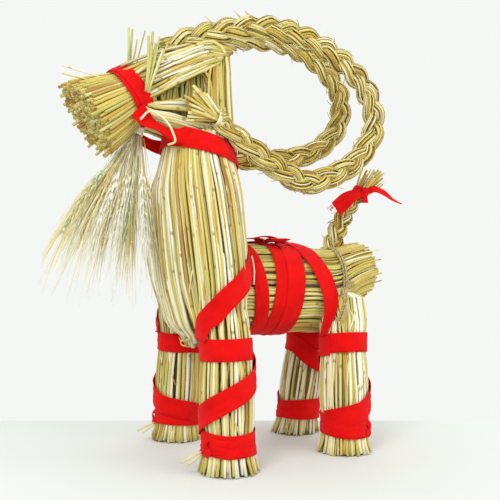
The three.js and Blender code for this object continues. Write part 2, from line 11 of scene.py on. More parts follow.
import bpy
import numpy as np
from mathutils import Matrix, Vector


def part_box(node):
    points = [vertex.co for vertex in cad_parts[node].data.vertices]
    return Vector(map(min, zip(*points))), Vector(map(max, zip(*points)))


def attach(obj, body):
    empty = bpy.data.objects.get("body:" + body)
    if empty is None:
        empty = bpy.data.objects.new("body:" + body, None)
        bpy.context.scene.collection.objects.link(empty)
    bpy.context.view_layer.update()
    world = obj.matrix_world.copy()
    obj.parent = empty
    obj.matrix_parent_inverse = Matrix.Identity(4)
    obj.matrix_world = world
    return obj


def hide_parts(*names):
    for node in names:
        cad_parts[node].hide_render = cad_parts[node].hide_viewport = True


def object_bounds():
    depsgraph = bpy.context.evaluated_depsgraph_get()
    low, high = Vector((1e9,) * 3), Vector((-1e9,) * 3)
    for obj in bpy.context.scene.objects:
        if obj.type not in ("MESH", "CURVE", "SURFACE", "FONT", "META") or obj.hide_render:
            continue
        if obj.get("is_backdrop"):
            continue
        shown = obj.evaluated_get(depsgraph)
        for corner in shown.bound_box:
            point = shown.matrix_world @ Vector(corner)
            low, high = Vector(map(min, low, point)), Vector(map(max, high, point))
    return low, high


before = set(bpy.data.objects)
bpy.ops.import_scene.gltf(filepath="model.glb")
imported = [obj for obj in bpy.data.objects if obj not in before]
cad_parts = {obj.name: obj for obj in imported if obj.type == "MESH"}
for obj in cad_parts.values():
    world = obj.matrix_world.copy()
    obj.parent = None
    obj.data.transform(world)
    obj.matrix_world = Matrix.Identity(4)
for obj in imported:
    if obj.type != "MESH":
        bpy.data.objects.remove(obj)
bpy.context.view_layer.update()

# %% [markdown]
# The goat is laid out in millimetres from a work point on the floor between its feet, as a maker
# would measure it. The rear cut of the straw lies 141 mm behind that point, and the CAD node says
# where the same cut is in the frame. The difference moves every point into the frame, in metres.

# %% From the maker's layout to the frame
MM = 0.001
RUMP_END = 141.0
rear_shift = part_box("body_and_hind_legs")[1][1] - RUMP_END * MM


def placed(points):
    """Points of the layout, in millimetres, as frame points in metres."""
    moved = np.asarray(points, float) * MM
    moved[..., 1] += rear_shift
    return moved


print("layout moved along Y by", round(rear_shift, 5), "m")

# %% [markdown]
# The goat stands a little turned, seen from low over its left shoulder, so the camera is level and
# its view is shifted up instead of tilted, which keeps the legs upright. The light is a soft box
# high on the camera's left, a weaker one on the right, a faint one from behind, and a bright,
# almost white room.

# %% Camera, lights, floor
CAMERA_PLACE = (807.9, -384.7, 207.0)
CAMERA_LOOK = (-0.910, 0.4147, 0.0)
scene = bpy.context.scene
camera = bpy.data.objects.new("camera", bpy.data.cameras.new("camera"))
scene.collection.objects.link(camera)
camera.location = placed(CAMERA_PLACE)
camera.rotation_euler = (math.pi / 2, 0, math.atan2(-CAMERA_LOOK[0], CAMERA_LOOK[1]))
camera.data.sensor_width = 36.0
camera.data.lens = 48.96
camera.data.shift_y = 0.078
camera.data.clip_start = 0.02
scene.camera = camera
scene.view_settings.view_transform = "Standard"


def soft_box(name, place, target, size, power):
    """A square area lamp at a place of the frame, turned to a target."""
    lamp = bpy.data.objects.new(name, bpy.data.lights.new(name, "AREA"))
    lamp.data.size = size
    lamp.data.energy = power
    scene.collection.objects.link(lamp)
    lamp.location = place
    away = np.subtract(place, target)
    turn = math.atan2(away[1], away[0]) + math.pi / 2
    tip = math.acos(away[2] / np.linalg.norm(away))
    lamp.rotation_euler = (tip, 0, turn)


MIDDLE = (0.0, 0.0, 0.27)
soft_box("key", (1.15, -1.25, 1.45), MIDDLE, 0.7, 17)
soft_box("fill", (1.3, 0.9, 0.8), MIDDLE, 1.2, 8)
soft_box("rim", (-1.2, 0.6, 1.4), MIDDLE, 1.2, 4)

world = bpy.data.worlds.new("pale_room")
world.use_nodes = True
room = world.node_tree.nodes["Background"]
ROOM_COLOUR, ROOM_STRENGTH = (0.93, 0.945, 0.925), 0.98
room.inputs["Color"].default_value = (*ROOM_COLOUR, 1)
room.inputs["Strength"].default_value = ROOM_STRENGTH
scene.world = world

FLOOR_REACH = 9.0
corners = [(x * FLOOR_REACH, y * FLOOR_REACH, 0.0) for x, y in ((-1, -1), (1, -1), (1, 1), (-1, 1))]
floor_mesh = bpy.data.meshes.new("floor")
floor_mesh.from_pydata(corners, [], [(0, 1, 2, 3)])
floor = bpy.data.objects.new("floor", floor_mesh)
scene.collection.objects.link(floor)
floor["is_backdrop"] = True
print("camera at", [round(v, 4) for v in camera.location])

# %% [markdown]
# Everything on the goat is a long thin thing: a straw, a strip, an awn, a thread. So one collector
# holds the points and faces of a whole piece, with three marks on each point that the materials
# read. "tone" is one number for a whole straw, "grain" says where a point is on its straw (round
# it and along it, in metres), and "shade" is how much shade is painted on a spot: 0 in the open,
# more between straws, and 1 deep inside a hollow end.
# Each straw also gets its own rectangle of a UV map, so its colours can be kept in a picture.

# %% The collector of straws
SEED = 24
rng = np.random.default_rng(SEED)


def unit(vectors):
    """The same directions, each one long."""
    return vectors / np.maximum(np.linalg.norm(vectors, axis=-1, keepdims=True), 1e-9)


class Sheaf:
    """Points, faces and marks of one piece while it is being made."""

    def __init__(self):
        self.points, self.grain, self.tone, self.shade = [], [], [], []
        self.faces, self.face_uv, self.cells, self.smooth = [], [], [], []
        self.size = 0
        self.cell = 0
        self.area = 0.0  # of cloth, in square millimetres

    def add(self, points, faces, uv, grain, tone, shade, smooth=True):
        """faces: rows of 4 point numbers; a triangle repeats its last. uv: 4 corners a face."""
        count = len(points)
        self.points.append(np.asarray(points, float))
        self.grain.append(grain)
        self.tone.append(np.full(count, float(tone)))
        self.shade.append(np.broadcast_to(np.asarray(shade, float), (count,)))
        self.faces.append(np.asarray(faces, int) + self.size)
        self.face_uv.append(uv)
        self.cells.append(np.full(len(faces), self.cell))
        self.smooth.append(np.broadcast_to(np.asarray(smooth, bool), (len(faces),)))
        self.size += count
        self.cell += 1


def ring_faces(rings, sides, closed=True):
    """Faces between neighbouring rings of points, and their UV corners in a unit square."""
    around = sides if closed else sides - 1
    i, k = np.meshgrid(np.arange(rings - 1), np.arange(around), indexing="ij")
    i, k = i.ravel(), k.ravel()
    after = (k + 1) % sides
    faces = np.stack([i * sides + k, i * sides + after, (i + 1) * sides + after, (i + 1) * sides + k], 1)
    u0, u1 = k / around, (k + 1) / around
    v0, v1 = i / (rings - 1), (i + 1) / (rings - 1)
    uv = np.stack([np.stack(c, 1) for c in ((u0, v0), (u1, v0), (u1, v1), (u0, v1))], 1)
    return faces, uv


print("the draws start from", SEED)

# %% [markdown]
# When a piece is complete, its lists become one mesh. Blender takes such long lists quickest as
# flat arrays. The marks go in as attributes of the points, and the UV rectangles are set out in
# rows, each with a small margin, so that no two straws share a spot of the map.

# %% From a sheaf to an object
CELL_COLUMNS, CELL_MARGIN = 150, 0.06  # how the UV map's rectangles are set out


def finished(name, sheaf, material):
    """The collected piece as one object, in metres, with its marks and UV map."""
    points = placed(np.concatenate(sheaf.points))
    faces = np.concatenate(sheaf.faces)
    uv = np.concatenate(sheaf.face_uv)
    cells = np.concatenate(sheaf.cells)
    columns = max(1, min(CELL_COLUMNS, sheaf.cell))
    rows = math.ceil(sheaf.cell / columns)
    corner = np.stack([cells % columns, cells // columns], 1)[:, None, :]
    uv = (corner + CELL_MARGIN + (1 - 2 * CELL_MARGIN) * uv) / (columns, rows)
    four = faces[:, 3] != faces[:, 2]
    sizes = np.where(four, 4, 3)
    keep = np.ones((len(faces), 4), bool)
    keep[:, 3] = four
    mesh = bpy.data.meshes.new(name)
    mesh.vertices.add(len(points))
    mesh.vertices.foreach_set("co", points.astype(np.float32).ravel())
    mesh.loops.add(int(sizes.sum()))
    mesh.loops.foreach_set("vertex_index", faces[keep].astype(np.int32))
    mesh.polygons.add(len(faces))
    starts = np.concatenate([[0], np.cumsum(sizes)[:-1]])
    mesh.polygons.foreach_set("loop_start", starts.astype(np.int32))
    mesh.polygons.foreach_set("use_smooth", np.concatenate(sheaf.smooth))
    mesh.update(calc_edges=True)
    layer = mesh.uv_layers.new(name="OFBake")
    layer.data.foreach_set("uv", uv[keep].astype(np.float32).ravel())
    grain = mesh.attributes.new("grain", "FLOAT_VECTOR", "POINT")
    grain.data.foreach_set("vector", np.concatenate(sheaf.grain).astype(np.float32).ravel())
    for mark, values in (("tone", sheaf.tone), ("shade", sheaf.shade)):
        attribute = mesh.attributes.new(mark, "FLOAT", "POINT")
        attribute.data.foreach_set("value", np.concatenate(values).astype(np.float32))
    piece = bpy.data.objects.new(name, mesh)
    scene.collection.objects.link(piece)
    mesh.materials.append(material)
    print(name, "-", sheaf.cell, "strands,", int((sizes - 2).sum()), "triangles")
    return piece


print("a UV map has up to", CELL_COLUMNS, "straws side by side")

# %% [markdown]
# A straw is a thin tube that tapers a little and is never quite round. Where it is cut, the wall
# and the hollow show, so a cut end gets a rim, an inner wall and a floor, and the rim and the floor
# get painted shade. Where an end is hidden it is only closed. A tube is a row of rings, each set
# square to the path. A straw that lies below a bundle's outside gets painted shade on its inner
# side, where little light comes in.

# %% One straw
HOLLOW = 0.58  # of a cut straw's radius
HOLLOW_DEPTH = 2.2  # of its radius
# Painted shade on a cut end's rim, and more on the floor of its hollow.
RIM_SHADE, FLOOR_SHADE = 0.35, 1.0
CAP = 0.05  # the part of a straw's UV rectangle that each end takes
GAP_SHADE, GAP_SHADE_FROM, GAP_SHADE_FULL = 0.8, 0.9, 3.6  # painted shade between straws, and the depths it runs over


def painted_gap_shade(buried):
    """How much shade is painted on a point that lies so many millimetres below a bundle's outside."""
    t = np.clip((np.asarray(buried, float) - GAP_SHADE_FROM) / (GAP_SHADE_FULL - GAP_SHADE_FROM), 0, 1)
    return GAP_SHADE * t * t * (3 - 2 * t)


def across_path(path, out):
    """At each point of a path: the way ahead, the way out square to it, and the way to the side."""
    ahead = unit(np.gradient(path, axis=0))
    if out is None:
        out = np.eye(3)[np.argmin(np.abs(ahead.mean(0)))]
    out = np.broadcast_to(np.asarray(out, float), path.shape)
    out = unit(out - (out * ahead).sum(1, keepdims=True) * ahead)
    return ahead, out, np.cross(out, ahead)


def closed_tube(rings, sides):
    """The faces of a tube with a fan of triangles over each end, and their UV corners."""
    faces, uv = ring_faces(rings, sides)
    all_faces, all_uv = [faces], [uv * (1, 1 - 2 * CAP) + (0, CAP)]
    k = np.arange(sides)
    after = (k + 1) % sides
    last = (rings - 1) * sides
    for base, end, a, b, edge, v in ((0, 0, after, k, CAP, 0.0), (last, 1, k, after, 1 - CAP, 1.0)):
        middle = np.full(sides, rings * sides + end)
        all_faces.append(np.stack([base + a, base + b, middle, middle], 1))
        corner = [(k / sides, edge), ((k + 1) / sides, edge), ((k + 0.5) / sides, v), ((k + 0.5) / sides, v)]
        all_uv.append(np.stack([np.stack(np.broadcast_arrays(*c), 1) for c in corner], 1))
    return np.concatenate(all_faces), np.concatenate(all_uv)


def straw(sheaf, path, radius, tone=None, sides=6, flat=1.0, out=None, cut=(False, False), shade=0.0,
          lies=None):
    """A tube along a path; out, if given, is the direction in which a flattened straw is thin.

    lies is (depth, outward): how deep the straw's middle lies in its bundle and which way is out, for its
    painted shade.
    """
    path = np.asarray(path, float)
    rings = len(path)
    ahead, out, side = across_path(path, out)
    radius = np.broadcast_to(np.asarray(radius, float), (rings,))
    turn = np.arange(sides) * 2 * math.pi / sides + rng.uniform(0, 1) * (flat == 1.0)
    cos, sin = np.cos(turn), np.sin(turn)
    spoke = side[:, None] * cos[None, :, None] + flat * out[:, None] * sin[None, :, None]
    run = np.concatenate([[0], np.cumsum(np.linalg.norm(np.diff(path, axis=0), axis=1))]) * MM
    rows = [path[:, None] + spoke * radius[:, None, None]]
    runs, shades = [run], [np.full(rings, shade)]
    # Painted shade between straws, one value for each point.
    dim = np.zeros((rings, sides))
    if lies is not None:
        outward = np.broadcast_to(np.asarray(lies[1], float), path.shape)
        dim = painted_gap_shade(lies[0] - radius[:, None] * (spoke * outward[:, None]).sum(-1))
    smooth_rows = [True] * (rings - 1)
    for end, ring, sign in ((0, 0, 1), (1, rings - 1, -1)):
        if not cut[end]:
            continue
        wall = spoke[ring] * radius[ring] * HOLLOW
        deep = path[ring] + sign * ahead[ring] * radius[ring] * HOLLOW_DEPTH
        extra = np.stack([path[ring] + wall, deep + wall * 0.9])
        if end:
            rows.append(extra)
            runs.append(np.full(2, run[ring]))
            shades.append(np.array([RIM_SHADE, FLOOR_SHADE]))
            smooth_rows += [False, True]
            dim = np.concatenate([dim, np.zeros((2, sides))])
        else:
            rows.insert(0, extra[::-1])
            runs.insert(0, np.full(2, run[ring]))
            shades.insert(0, np.array([FLOOR_SHADE, RIM_SHADE]))
            smooth_rows = [True, False] + smooth_rows
            dim = np.concatenate([np.zeros((2, sides)), dim])
    rows, runs, shades = np.concatenate(rows), np.concatenate(runs), np.concatenate(shades)
    count = len(rows)
    faces, uv = closed_tube(count, sides)
    points = np.concatenate([rows.reshape(-1, 3), [rows[0].mean(0), rows[-1].mean(0)]])
    smooth = np.concatenate([np.repeat(smooth_rows, sides), np.zeros(2 * sides, bool)])
    around = np.broadcast_to(np.stack([cos, sin], 1), (count, sides, 2))
    grain = np.concatenate([around, np.broadcast_to(runs[:, None, None], (count, sides, 1))], 2)
    grain = np.concatenate([grain.reshape(-1, 3), [(0, 0, runs[0]), (0, 0, runs[-1])]])
    shade_all = np.concatenate([np.maximum(np.repeat(shades, sides), dim.ravel()), shades[[0, -1]]])
    tone = rng.uniform() if tone is None else tone
    sheaf.add(points, faces, uv, grain, tone, shade_all, smooth)


print("a cut end shows a hollow", HOLLOW, "of the straw's width")

# %% [markdown]
# Straws and ribbons follow smooth lines through a few points that a maker could mark. Between two
# points a cubic takes the slopes at both, so the line has no corners and passes every point.

# %% Smooth lines
def curve(points, count):
    """A smooth line through points, evenly spaced."""
    points = np.asarray(points, float)
    gaps = np.linalg.norm(np.diff(points, axis=0), axis=1)
    at = np.concatenate([[0], np.cumsum(gaps)])
    slope = np.gradient(points, at, axis=0) if len(points) > 2 else None
    q = np.linspace(0, at[-1], count)
    if slope is None:
        return points[0] + (points[1] - points[0]) * (q / at[-1])[:, None]
    i = np.clip(np.searchsorted(at, q, side="right") - 1, 0, len(at) - 2)
    h = at[i + 1] - at[i]
    t = ((q - at[i]) / h)[:, None]
    h = h[:, None]
    a, b = points[i], points[i + 1]
    low, high = slope[i] * h, slope[i + 1] * h
    return (
        (2 * t**3 - 3 * t**2 + 1) * a + (t**3 - 2 * t**2 + t) * low
        + (3 * t**2 - 2 * t**3) * b + (t**3 - t**2) * high
    )


def bent(start, end, bow, count):
    """A line from start to end whose middle is moved by bow."""
    return curve([start, (start + end) / 2 + bow, end], count)


def length_of(line):
    """How long a line of points is."""
    return float(np.linalg.norm(np.diff(line, axis=0), axis=1).sum())


print("a test line is", round(length_of(curve([(0, 0, 0), (3, 4, 0)], 5)), 3), "mm long")

# %% [markdown]
# A tied bundle is described the way a maker checks it: at each place along it, its middle and how
# far it reaches to two sides. The same description lays the straws, and later holds the ribbons
# on the straws, because a cloth point that would sink into the bundle is pushed back out of it.

# %% Bundles
class Bundle:
    """Rows of [place along the axis, x, y, z, reach one way, reach the other way]."""

    def __init__(self, axis, rows, first, second):
        self.axis = axis
        rows = np.array(rows, float)
        self.key = rows[:, 0]
        self.rows = rows[:, 1:]
        self.slope = np.gradient(self.rows, self.key, axis=0)
        self.first, self.second = np.array(first, float), np.array(second, float)

    def row(self, key):
        """The middle and both reaches at a place, smooth between the given rows."""
        key = np.clip(np.asarray(key, float), self.key[0], self.key[-1])
        i = np.clip(np.searchsorted(self.key, key, side="right") - 1, 0, len(self.key) - 2)
        h = self.key[i + 1] - self.key[i]
        t = (key - self.key[i]) / h
        t, h = t[..., None], h[..., None]
        a, b, low, high = self.rows[i], self.rows[i + 1], self.slope[i] * h, self.slope[i + 1] * h
        ease = 3 * t**2 - 2 * t**3
        return a + (b - a) * ease + (t**3 - 2 * t**2 + t) * low + (t**3 - t**2) * high

    def outward(self, angle):
        """The outward direction at an angle round the bundle."""
        angle = np.asarray(angle, float)[..., None]
        return np.cos(angle) * self.first + np.sin(angle) * self.second

    def at(self, key, angle, lift=0.0):
        """The surface point at a place and angle, lifted off by so much."""
        row = self.row(key)
        angle = np.broadcast_to(np.asarray(angle, float), row.shape[:-1])
        reach = row[..., 3:] + np.asarray(lift, float)[..., None]
        return (
            row[..., :3]
            + (reach[..., 0] * np.cos(angle))[..., None] * self.first
            + (reach[..., 1] * np.sin(angle))[..., None] * self.second
        )

    def clear(self, points, lift):
        """Points pushed out to the bundle's surface plus lift, where they would be inside it."""
        key = points[..., self.axis]
        row = self.row(key)
        away = points - row[..., :3]
        a = (away * self.first).sum(-1)
        b = (away * self.second).sum(-1)
        ratio = np.hypot(a / (row[..., 3] + lift), b / (row[..., 4] + lift))
        inside = (ratio < 1) & (key > self.key[0]) & (key < self.key[-1])
        grow = np.where(inside, 1 / np.maximum(ratio, 0.2) - 1, 0)[..., None]
        return points + grow * (a[..., None] * self.first + b[..., None] * self.second)


X, Y, Z = np.eye(3)
neck = Bundle(2, [
    (146, 0, -85, 146, 70, 20), (160, 0, -85, 160, 101, 34), (182, 0, -85, 182, 102, 42),
    (212, 0, -86, 212, 101, 49), (250, 0, -88, 250, 97, 52), (292, 0, -90, 292, 88, 53),
    (330, 0, -91, 330, 76, 53), (360, 0, -90, 360, 58, 48), (386, 0, -89, 386, 47, 43),
    (404, 0, -87, 404, 45, 42),
], X, Y)
trunk = Bundle(1, [
    (-60, 0, -60, 207, 57, 57), (-10, 0, -10, 207, 58, 58), (50, 0, 50, 207, 57, 57),
    (93, 0, 93, 208, 54, 54), (113, 0, 113, 221, 55, 45), (141, 0, 141, 232, 59, 40),
], X, Z)
BAND_HEIGHT, ANKLE_HEIGHT = 137.0, 35.0  # of the leg's two ties, above the floor


def leg(side, foot, top, shoulder):
    """A leg: flared foot, waist at the ankle ribbon, full calf, waist at the upper ribbon."""
    rows = []
    for height, radius in ((0, 34.5), (14, 31), (ANKLE_HEIGHT, 28), (60, 31), (98, 31), (BAND_HEIGHT, 29)):
        x, y = np.add(foot, np.subtract(top, foot) * (height / BAND_HEIGHT))
        rows.append((height, side * x, y, height, radius, radius))
    rows += [(z, side * x, y, z, r, r) for x, y, z, r in shoulder]
    return Bundle(2, rows, side * X, Y)


SIDES = (("left", 1), ("right", -1))
FORE_SHOULDER = [(76, -85, 165, 31), (60, -85, 195, 31)]
HIND_SHOULDER = [(41, 99, 166, 32), (31, 99, 196, 33)]
forelegs = {name: leg(side, (95, -86), (82, -84), FORE_SHOULDER) for name, side in SIDES}
hind_legs = {name: leg(side, (67, 86), (46, 97), HIND_SHOULDER) for name, side in SIDES}
print("bundles ready: neck", round(float(neck.row(250)[3]) * 2), "mm wide at the chest")

# %% [markdown]
# Real straw is not laid evenly. The straws touch, some lie a little deeper, a few bow out, and
# through the gaps one sees a second layer, painted darker as shade. So every bundle gets an outer
# layer, an inner one and a plain heart that stops light from passing through and is painted dark
# as shade.

# %% Laying straws on a bundle
STRAW_RADIUS = 1.95
SKIN = 1.7  # the outer straws' middles lie this far inside the bundle's outside
UNDER = SKIN + 4.2  # and the second layer's middles this far
HEART = 8.5  # the heart's surface; the heart is painted dark as shade


def spread_angles(a, b, count, low=0.0, high=2 * math.pi):
    """Angles evenly spaced along the edge of an ellipse, a little disturbed."""
    fine = np.linspace(low, high, 721)
    step = np.hypot(a * np.sin(fine), b * np.cos(fine))
    along = np.concatenate([[0], np.cumsum((step[1:] + step[:-1]) / 2)])
    spots = (np.arange(count) + rng.uniform(-0.22, 0.22, count) + 0.5) / count
    return np.interp(spots * along[-1], along, fine)


def wander(count, size):
    """A slow side-to-side drift along a straw."""
    t = np.linspace(0, 1, count)
    slow = rng.normal() * np.sin(math.pi * t)
    return size * (slow + 0.5 * rng.normal() * np.sin(2 * math.pi * t + rng.uniform(0, 6)))


def lie():
    """How deep a straw's middle lies below the outside of its bundle."""
    return SKIN + rng.choice([-0.3, 0.3, 1.0, 2.1], p=[0.35, 0.3, 0.2, 0.15]) + rng.uniform(-0.35, 0.35)


def faded():
    """The tone of a straw low on a leg, where light and handling have bleached most of them."""
    return rng.uniform() ** 1.45


def thickness():
    """Half the thickness of a straw: most are full grown, some are thin."""
    return STRAW_RADIUS * (rng.uniform(0.88, 1.2) if rng.uniform() < 0.68 else rng.uniform(0.48, 0.85))


def cut_height():
    """How high above the floor a straw of a foot is cut off."""
    return max(0.2, rng.normal(1.2, 1.2))


def frayed(z):
    """How far a straw's end flares in or out below the ankle ribbon."""
    return rng.uniform(-2.2, 2.6) * np.clip((28 - z) / 28, 0, 1) ** 1.5


print("a full grown straw is", 2 * STRAW_RADIUS, "mm thick")

# %% [markdown]
# Three more things fill a bundle. Slivers of split straw and leaf cling to its outside. A plain
# closed body is its heart. Where a bundle is cut across, more straw ends stand packed inside the
# outer ring, like eggs in a tray.

# %% Slivers, hearts and packed ends
def slivers(sheaf, bundle, low, high, count, skew=0.12):
    """Split pieces of straw and leaf that lie on a bundle's outside, each a little askew."""
    for _ in range(count):
        begin = rng.uniform(low, high - 16)
        key = np.linspace(begin, min(high, begin + rng.uniform(18, 62)), 7)
        angle = rng.uniform(0, 2 * math.pi) + np.linspace(-1, 1, 7) * rng.normal(0, skew)
        path = bundle.at(key, angle, -rng.uniform(-0.2, 1.2))
        half = rng.uniform(0.5, 1.6)
        widths = [0.5 * half, *[half] * 5, 0.4 * half]
        straw(sheaf, path, widths, sides=5, flat=0.4, out=bundle.outward(angle))


def heart(sheaf, sections):
    """A closed body from rows of points, just inside the straws, painted dark as shade."""
    rings, sides = sections.shape[:2]
    faces, uv = ring_faces(rings, sides)
    points = np.concatenate([sections.reshape(-1, 3), [sections[0].mean(0), sections[-1].mean(0)]])
    k = np.arange(sides)
    after = (k + 1) % sides
    low = np.stack([after, k, np.full(sides, rings * sides), np.full(sides, rings * sides)], 1)
    high = (rings - 1) * sides + np.stack([k, after], 1)
    high = np.concatenate([high, np.full((sides, 2), rings * sides + 1)], 1)
    cap_uv = np.tile(np.array([(0.0, 0.0), (0.1, 0.0), (0.05, 0.1), (0.05, 0.1)]), (2 * sides, 1, 1))
    grain = np.zeros((len(points), 3))
    grain[:, 2] = points[:, 2] * MM
    faces, uv = np.concatenate([faces, low, high]), np.concatenate([uv, cap_uv])
    corner = points[faces] - points.mean(0)
    volume = sum((corner[:, 0] * np.cross(corner[:, i], corner[:, i + 1])).sum() for i in (1, 2))
    if volume < 0:
        faces = faces[:, [1, 0, 3, 2]]
    sheaf.add(points, faces, uv, grain, 0.75, 0.8)


def heart_of(sheaf, bundle, low, high, rings=10, sides=20):
    """The heart of a bundle between two places along it."""
    keys = np.linspace(low, high, rings)[:, None]
    angles = np.linspace(0, 2 * math.pi, sides, endpoint=False)[None, :]
    heart(sheaf, bundle.at(np.broadcast_to(keys, (rings, sides)), angles, -HEART))


ROW_STEP = 0.866  # of the pitch, between rows of round things packed close


def packed_disc(pitch, a, b):
    """Points packed close inside an ellipse, a little disturbed."""
    spots = []
    rows = int(b / (pitch * ROW_STEP)) + 1
    for j in range(-rows, rows + 1):
        for i in range(-int(a / pitch) - 1, int(a / pitch) + 2):
            x, y = (i + 0.5 * (j % 2)) * pitch, j * pitch * ROW_STEP
            if (x / a) ** 2 + (y / b) ** 2 < 1:
                spots.append((x, y))
    spots = np.array(spots)
    return spots + rng.normal(0, 0.12 * pitch, spots.shape)


def fill_leg(sheaf, bundle, heart_top, sliver_top, sliver_count):
    """The heart and slivers of a leg, and the straw ends packed inside its foot."""
    heart_of(sheaf, bundle, 3, heart_top, sides=14)
    slivers(sheaf, bundle, 4, sliver_top, sliver_count)
    for x, y in packed_disc(4.1, 27, 27):
        foot = bundle.row(0.0)[:3] + x * X + y * Y
        top = bundle.row(30.0)[:3] + 0.8 * (x * X + y * Y)
        end = [foot[0], foot[1], rng.uniform(0.3, 3.5)]
        straw(sheaf, [top, end], 1.9, sides=5, cut=(False, True))


print("a bundle's heart lies", HEART, "mm below its outside")

# %% [markdown]
# Head, neck and forelegs are one bundle. Its straws run down from the collar over the chest. There
# each half of them is gathered into a leg: a straw at the flank goes to the leg's outer side, one
# in the middle of the chest to the leg's inner side, which opens the slit between the legs.
# The straw ends are cut square and flare out below the ankle ribbon.

# %% Neck and forelegs
head_sheaf = Sheaf()
NECK_STRAWS = 176
NECK_TOP = 398
SPLIT_TOP, SPLIT_END = 212.0, 146.0  # where a straw leaves the chest for its leg
MIDDLE_SHARE = 0.42  # straws nearer the middle of the chest than this go into neither leg


def neck_path(angle, depth, foot, count=27):
    """The way of one straw from the collar to the foot, lying depth below the surface."""
    side_name = "left" if math.cos(angle) > 0 else "right"
    if abs(math.cos(angle)) < MIDDLE_SHARE:
        z = np.linspace(NECK_TOP, 139 + rng.normal(0, 3), count)
        path = neck.at(np.maximum(z, 147), angle + wander(count, 0.03), -depth)
        path[:, 2] = z
        tucked = np.clip((168 - z) / 30, 0, 1)[:, None] ** 2
        return path + tucked * ((0, -85, 0) - path) * (0.35, 0.25, 0)
    own = 2 * math.atan2(math.sin(angle), abs(math.cos(angle)))
    z = np.linspace(NECK_TOP, foot, count)
    drift = wander(count, 0.032)
    on_neck = neck.at(np.maximum(z, 150), angle + drift, -depth)
    on_neck[:, 2] = z
    twist = wander(count, 0.07)
    on_leg = forelegs[side_name].at(np.clip(z, 0, 190), own + twist, frayed(z) - depth)
    on_leg[:, 2] = z
    share = np.clip((SPLIT_TOP - z) / (SPLIT_TOP - SPLIT_END), 0, 1)
    share = (share * share * (3 - 2 * share))[:, None]
    path = on_neck * (1 - share) + on_leg * share
    bulge = 2.2 * np.exp(-((z - 178) / 16) ** 2) * abs(math.sin(angle))
    path[:, 1] += np.sign(math.sin(angle)) * bulge
    return path


for angle in spread_angles(84, 49, NECK_STRAWS):
    depth = lie()
    path = neck_path(angle, depth, cut_height())
    tone = rng.uniform() ** 1.15
    sides = 5 if depth > SKIN + 0.8 else 6
    lies = (depth, neck.outward(angle))
    straw(head_sheaf, path, thickness(), tone, sides, cut=(False, True), lies=lies)
for angle in spread_angles(80, 45, 120):
    path = neck_path(angle, UNDER, rng.uniform(1, 4), 15)
    straw(head_sheaf, path, 2.0, sides=4, lies=(UNDER, neck.outward(angle)))
print("collar to chest and feet:", head_sheaf.cell, "straws")

# %% [markdown]
# The inner sides of the legs are straws that begin inside the chest. A few broken straws are
# caught across the gathered ends of the chest, thin slivers of leaf sheath lie on the outside,
# each a little askew, and some straws have sprung out of the bundle between its two ties.

# %% Inner legs, slivers and sprung straws
for bundle in forelegs.values():
    for own in np.linspace(math.radians(118), math.radians(242), 30):
        depth = lie()
        z = np.linspace(188, cut_height(), 16)
        path = bundle.at(z, own + wander(16, 0.06), frayed(z) - depth)
        lies = (depth, bundle.outward(own))
        straw(head_sheaf, path, thickness(), faded(), 5, cut=(False, True), lies=lies)
for _ in range(8):
    y = -85 - rng.uniform(14, 24)
    start = np.array((rng.uniform(-34, -8), y, 144 + rng.uniform(-5, 3)))
    end = start + (rng.uniform(22, 46), rng.uniform(-3, 3), rng.uniform(-7, 7))
    path = bent(start, end, (0, -3, -2), 6)
    straw(head_sheaf, path, rng.uniform(0.5, 0.9), rng.uniform(0.2, 0.7), flat=0.6, out=Y)
for angle in rng.uniform(0, 2 * math.pi, 46):
    path = neck_path(angle, SKIN - 1.4, 140)
    begin = int(rng.integers(0, 14))
    piece = path[begin:begin + int(rng.integers(6, 14))]
    piece = piece + np.linspace(-1, 1, len(piece))[:, None] * rng.uniform(-3, 3) * X
    straw(head_sheaf, piece, rng.uniform(0.5, 0.9), sides=5, flat=0.4, out=neck.outward(angle))
SPRUNG = (  # angle round the neck, and how far the straw's middle stands off
    (-2.3, 12), (-2.1, 7), (-1.2, 3), (-0.5, 2), (0.4, 4), (1.5, 5), (2.6, 7), (3.4, 5),
)
for angle, spring in SPRUNG:
    path = neck_path(angle, SKIN - 1.0, 142)
    rise = spring * np.sin(math.pi * np.linspace(0, 1, len(path))) ** 2
    out = neck.outward(angle)
    straw(head_sheaf, path + rise[:, None] * out, 1.1, flat=0.6, out=out)
heart_of(head_sheaf, neck, 196, 396)
slivers(head_sheaf, neck, 180, 372, 46, 0.04)
for bundle in forelegs.values():
    fill_leg(head_sheaf, bundle, 172, 132, 40)
print("neck and forelegs:", head_sheaf.cell, "strands")

# %% [markdown]
# At the top the bundle is folded forward over the crown, like a sheaf bent over a rod, and runs
# down to the muzzle ribbon. Seen from the side this gives an upright post behind and a slanting
# bar above, with a three-cornered window between them. "depth" runs from the outer skin of the
# fold, 0, to the edge of the window, 1, and each straw keeps its depth all the way.

# %% The folded head
FOLD_OUTSIDE = [
    (-50, 381), (-54, 420), (-56, 460), (-59, 490), (-67, 507), (-82, 513), (-102, 506), (-128, 494),
    (-164, 480), (-192, 466),
]
FOLD_INSIDE = [
    (-88, 395), (-91, 430), (-92, 452), (-95, 464), (-98, 468), (-103, 466), (-112, 459), (-132, 446),
    (-160, 430), (-180, 420),
]
FOLD_HALF_WIDTH = [44, 41, 40, 39, 38.5, 38, 37.5, 37, 36, 34]
FOLD_ROUNDING = [9, 9, 9, 8, 6, 5, 5, 7, 14, 22]  # how far the edges of the fold drop


def fold_path(across, depth, count=26):
    """A straw over the crown; across is -1 to 1 from the right side to the left."""
    outside, inside = np.array(FOLD_OUTSIDE, float), np.array(FOLD_INSIDE, float)
    inward = unit(inside - outside)
    at = outside * (1 - depth) + inside * depth
    rounding = np.array(FOLD_ROUNDING) * abs(across) ** 3 * (1 - 2 * depth)
    at = at + inward * rounding[:, None]
    line = np.column_stack([across * np.array(FOLD_HALF_WIDTH), at])
    path = curve(line, count)
    path[:, 0] += wander(count, 0.7)
    return path


HEAD_HALF_WIDTH = 38.5


